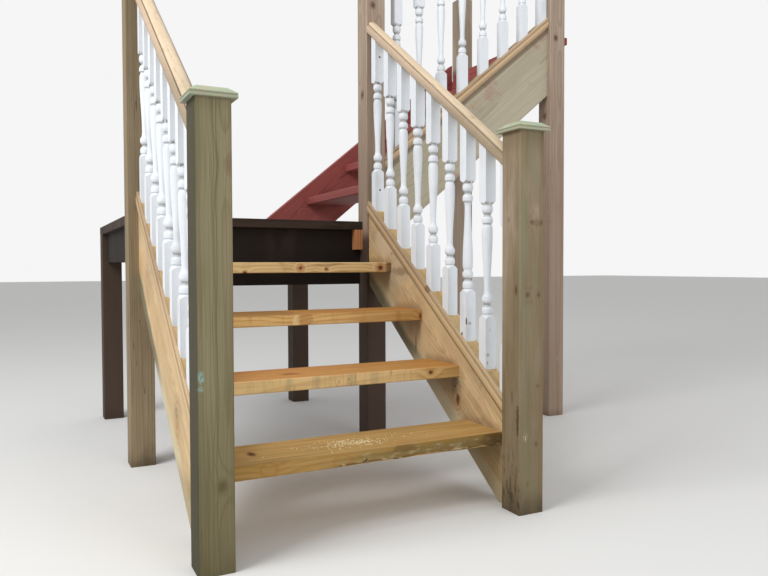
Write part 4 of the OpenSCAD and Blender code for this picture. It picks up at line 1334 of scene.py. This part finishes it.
class STAIRS_OT_sawdust(bpy.types.Operator):
    """Leave the fresh sawdust that lies on the first tread"""

    bl_idname = "deck_stairs.sawdust"
    bl_label = "Sawdust"

    # middle of the heap from the tread's left end and front, how far flakes stray, and its limits
    MIDDLE = (0.465, 0.100)
    STRAY_ALONG = (0.035, 0.055, 0.10)
    STRAY_BACK = 0.028
    LIMITS_ALONG = (0.06, 0.90)
    LIMITS_BACK = (0.012, 0.21)

    def execute(self, context):
        colours, details = finishes(context)
        flake_wood = Finish("sawdust")
        tone = flake_wood.cloud(200.0, 1.0)
        flake_wood.colour = flake_wood.mix(tone * 0.4, colours.dust, colours.tread_light)
        flake_wood.height = tone
        shape = bmesh.new()
        low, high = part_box("tread_1")
        draw = random.Random(11)
        for _ in range(details.dust_count):
            along = draw.gauss(self.MIDDLE[0], draw.choice(self.STRAY_ALONG))
            back = draw.gauss(self.MIDDLE[1], self.STRAY_BACK)
            place = Vector((low.x + within(along, self.LIMITS_ALONG),
                            low.y + within(back, self.LIMITS_BACK), high.z))
            self.flake(shape, draw, place, details.dust_size)
        finished_piece(shape, "sawdust", flake_wood.done(0.9, details.grain_depth * 0.3))
        return {"FINISHED"}

    def flake(self, shape, draw, place, size):
        """A thin curl of wood that lies on the tread."""
        length = size * draw.uniform(0.4, 1.3)
        width, thick = length * draw.uniform(0.3, 0.8), size * draw.uniform(0.15, 0.35)
        turn = Matrix.Rotation(draw.uniform(0, math.tau), 4, "Z")
        seat = Matrix.Translation(place + UP * (thick / 2)) @ turn
        sizes = Matrix.Diagonal((length, width, thick, 1))
        bmesh.ops.create_cube(shape, size=1.0, matrix=seat @ sizes)


# Stage


class STAIRS_OT_stage(bpy.types.Operator):
    """Set the floor, the soft lamps, the even sky and the camera"""

    bl_idname = "deck_stairs.stage"
    bl_label = "Studio"

    # name, share of the key lamp's power, place and size
    LAMPS = (("key lamp", 1.0, (-4.4, -1.6, 4.4), 2.6), ("fill lamp", 0.36, (1.2, -5.6, 2.2), 3.0))
    AIM = Vector((0, 0, 1.0))
    FLOOR_SIZE = 40.0
    # strength of the white that the camera sees behind the stair
    WHITE = 0.92

    def execute(self, context):
        studio = context.scene.stair_studio
        self.camera(context.scene, studio)
        self.floor(studio)
        self.lamps(studio)
        self.sky(context.scene, studio)
        context.scene.view_settings.view_transform = "Standard"
        return {"FINISHED"}

    def camera(self, scene, studio):
        heading, tilt, roll = studio.camera_heading, studio.camera_tilt, studio.camera_roll
        forward = Vector((math.sin(heading) * math.cos(tilt), math.cos(heading) * math.cos(tilt),
                          math.sin(tilt)))
        level = Vector((math.cos(heading), -math.sin(heading), 0))
        over = level.cross(forward)
        right = level * math.cos(roll) + over * math.sin(roll)
        upright = over * math.cos(roll) - level * math.sin(roll)
        data = bpy.data.cameras.new("photo camera")
        data.sensor_width = 36.0
        data.lens = studio.camera_lens
        data.clip_end = 200.0
        camera = bpy.data.objects.new("photo camera", data)
        axes = Matrix((right, upright, -forward)).transposed().to_4x4()
        camera.matrix_world = Matrix.Translation(studio.camera_place) @ axes
        scene.collection.objects.link(camera)
        scene.camera = camera

    def floor(self, studio):
        shape = bmesh.new()
        bmesh.ops.create_grid(shape, x_segments=2, y_segments=2, size=self.FLOOR_SIZE)
        mesh = bpy.data.meshes.new("studio_floor")
        shape.to_mesh(mesh)
        shape.free()
        pale = Finish("studio floor")
        pale.colour = studio.floor
        pale.height = pale.cloud(3.0, 1.0)
        mesh.materials.append(pale.done(0.9, 0.0001))
        floor = bpy.data.objects.new("studio_floor", mesh)
        bpy.context.scene.collection.objects.link(floor)

    def lamps(self, studio):
        for name, share, place, size in self.LAMPS:
            data = bpy.data.lights.new(name, "AREA")
            data.energy = studio.key * share
            data.size = size
            lamp = bpy.data.objects.new(name, data)
            turn = (self.AIM - Vector(place)).to_track_quat("-Z", "Y").to_matrix().to_4x4()
            lamp.matrix_world = Matrix.Translation(place) @ turn
            bpy.context.scene.collection.objects.link(lamp)

    def sky(self, scene, studio):
        world = bpy.data.worlds.new("studio sky")
        scene.world = world
        sky = Shade(world)
        lit = sky.node("ShaderNodeBackground", {}, {"Color": (1, 1, 1, 1), "Strength": studio.sky})
        seen = sky.node("ShaderNodeBackground", {}, {"Color": (1, 1, 1, 1), "Strength": self.WHITE})
        camera = sky.node("ShaderNodeLightPath", out="Is Camera Ray")
        glossy = sky.node("ShaderNodeLightPath", out="Is Glossy Ray")
        both = sky.node("ShaderNodeMixShader", {},
                        {0: sky.maths("MAXIMUM", camera, glossy), 1: lit, 2: seen})
        sky.node("ShaderNodeOutputWorld", {}, {"Surface": both})


class STAIRS_PT_panel(bpy.types.Panel):
    """Lists the steps that dress the stair"""

    bl_idname = "STAIRS_PT_panel"
    bl_label = "Deck stairs"
    bl_space_type = "VIEW_3D"
    bl_region_type = "UI"
    bl_category = "Deck stairs"

    def draw(self, context):
        for step in STEPS:
            self.layout.operator(step.bl_idname)
        for group in ("stair_details", "stair_studio", "stair_colours"):
            owner = getattr(context.scene, group)
            box = self.layout.box()
            for name in owner.__annotations__:
                box.prop(owner, name)


GROUPS = {
    "stair_colours": StairTimberColours,
    "stair_details": StairDetails,
    "stair_studio": StairStudio,
}
STEPS = (STAIRS_OT_newels, STAIRS_OT_caps, STAIRS_OT_treads, STAIRS_OT_stringers, STAIRS_OT_rails,
         STAIRS_OT_fillets, STAIRS_OT_spindles, STAIRS_OT_landing, STAIRS_OT_upper_flight,
         STAIRS_OT_screws, STAIRS_OT_sawdust, STAIRS_OT_stage)


def register():
    for made in (*GROUPS.values(), *STEPS, STAIRS_PT_panel):
        bpy.utils.register_class(made)
    for name, group in GROUPS.items():
        setattr(bpy.types.Scene, name, PointerProperty(type=group))


def unregister():
    for name in GROUPS:
        delattr(bpy.types.Scene, name)
    for made in reversed((*GROUPS.values(), *STEPS, STAIRS_PT_panel)):
        bpy.utils.unregister_class(made)


def main():
    register()
    for step in STEPS:
        getattr(bpy.ops.deck_stairs, step.bl_idname.split(".")[1])()


if __name__ == "__main__":
    main()
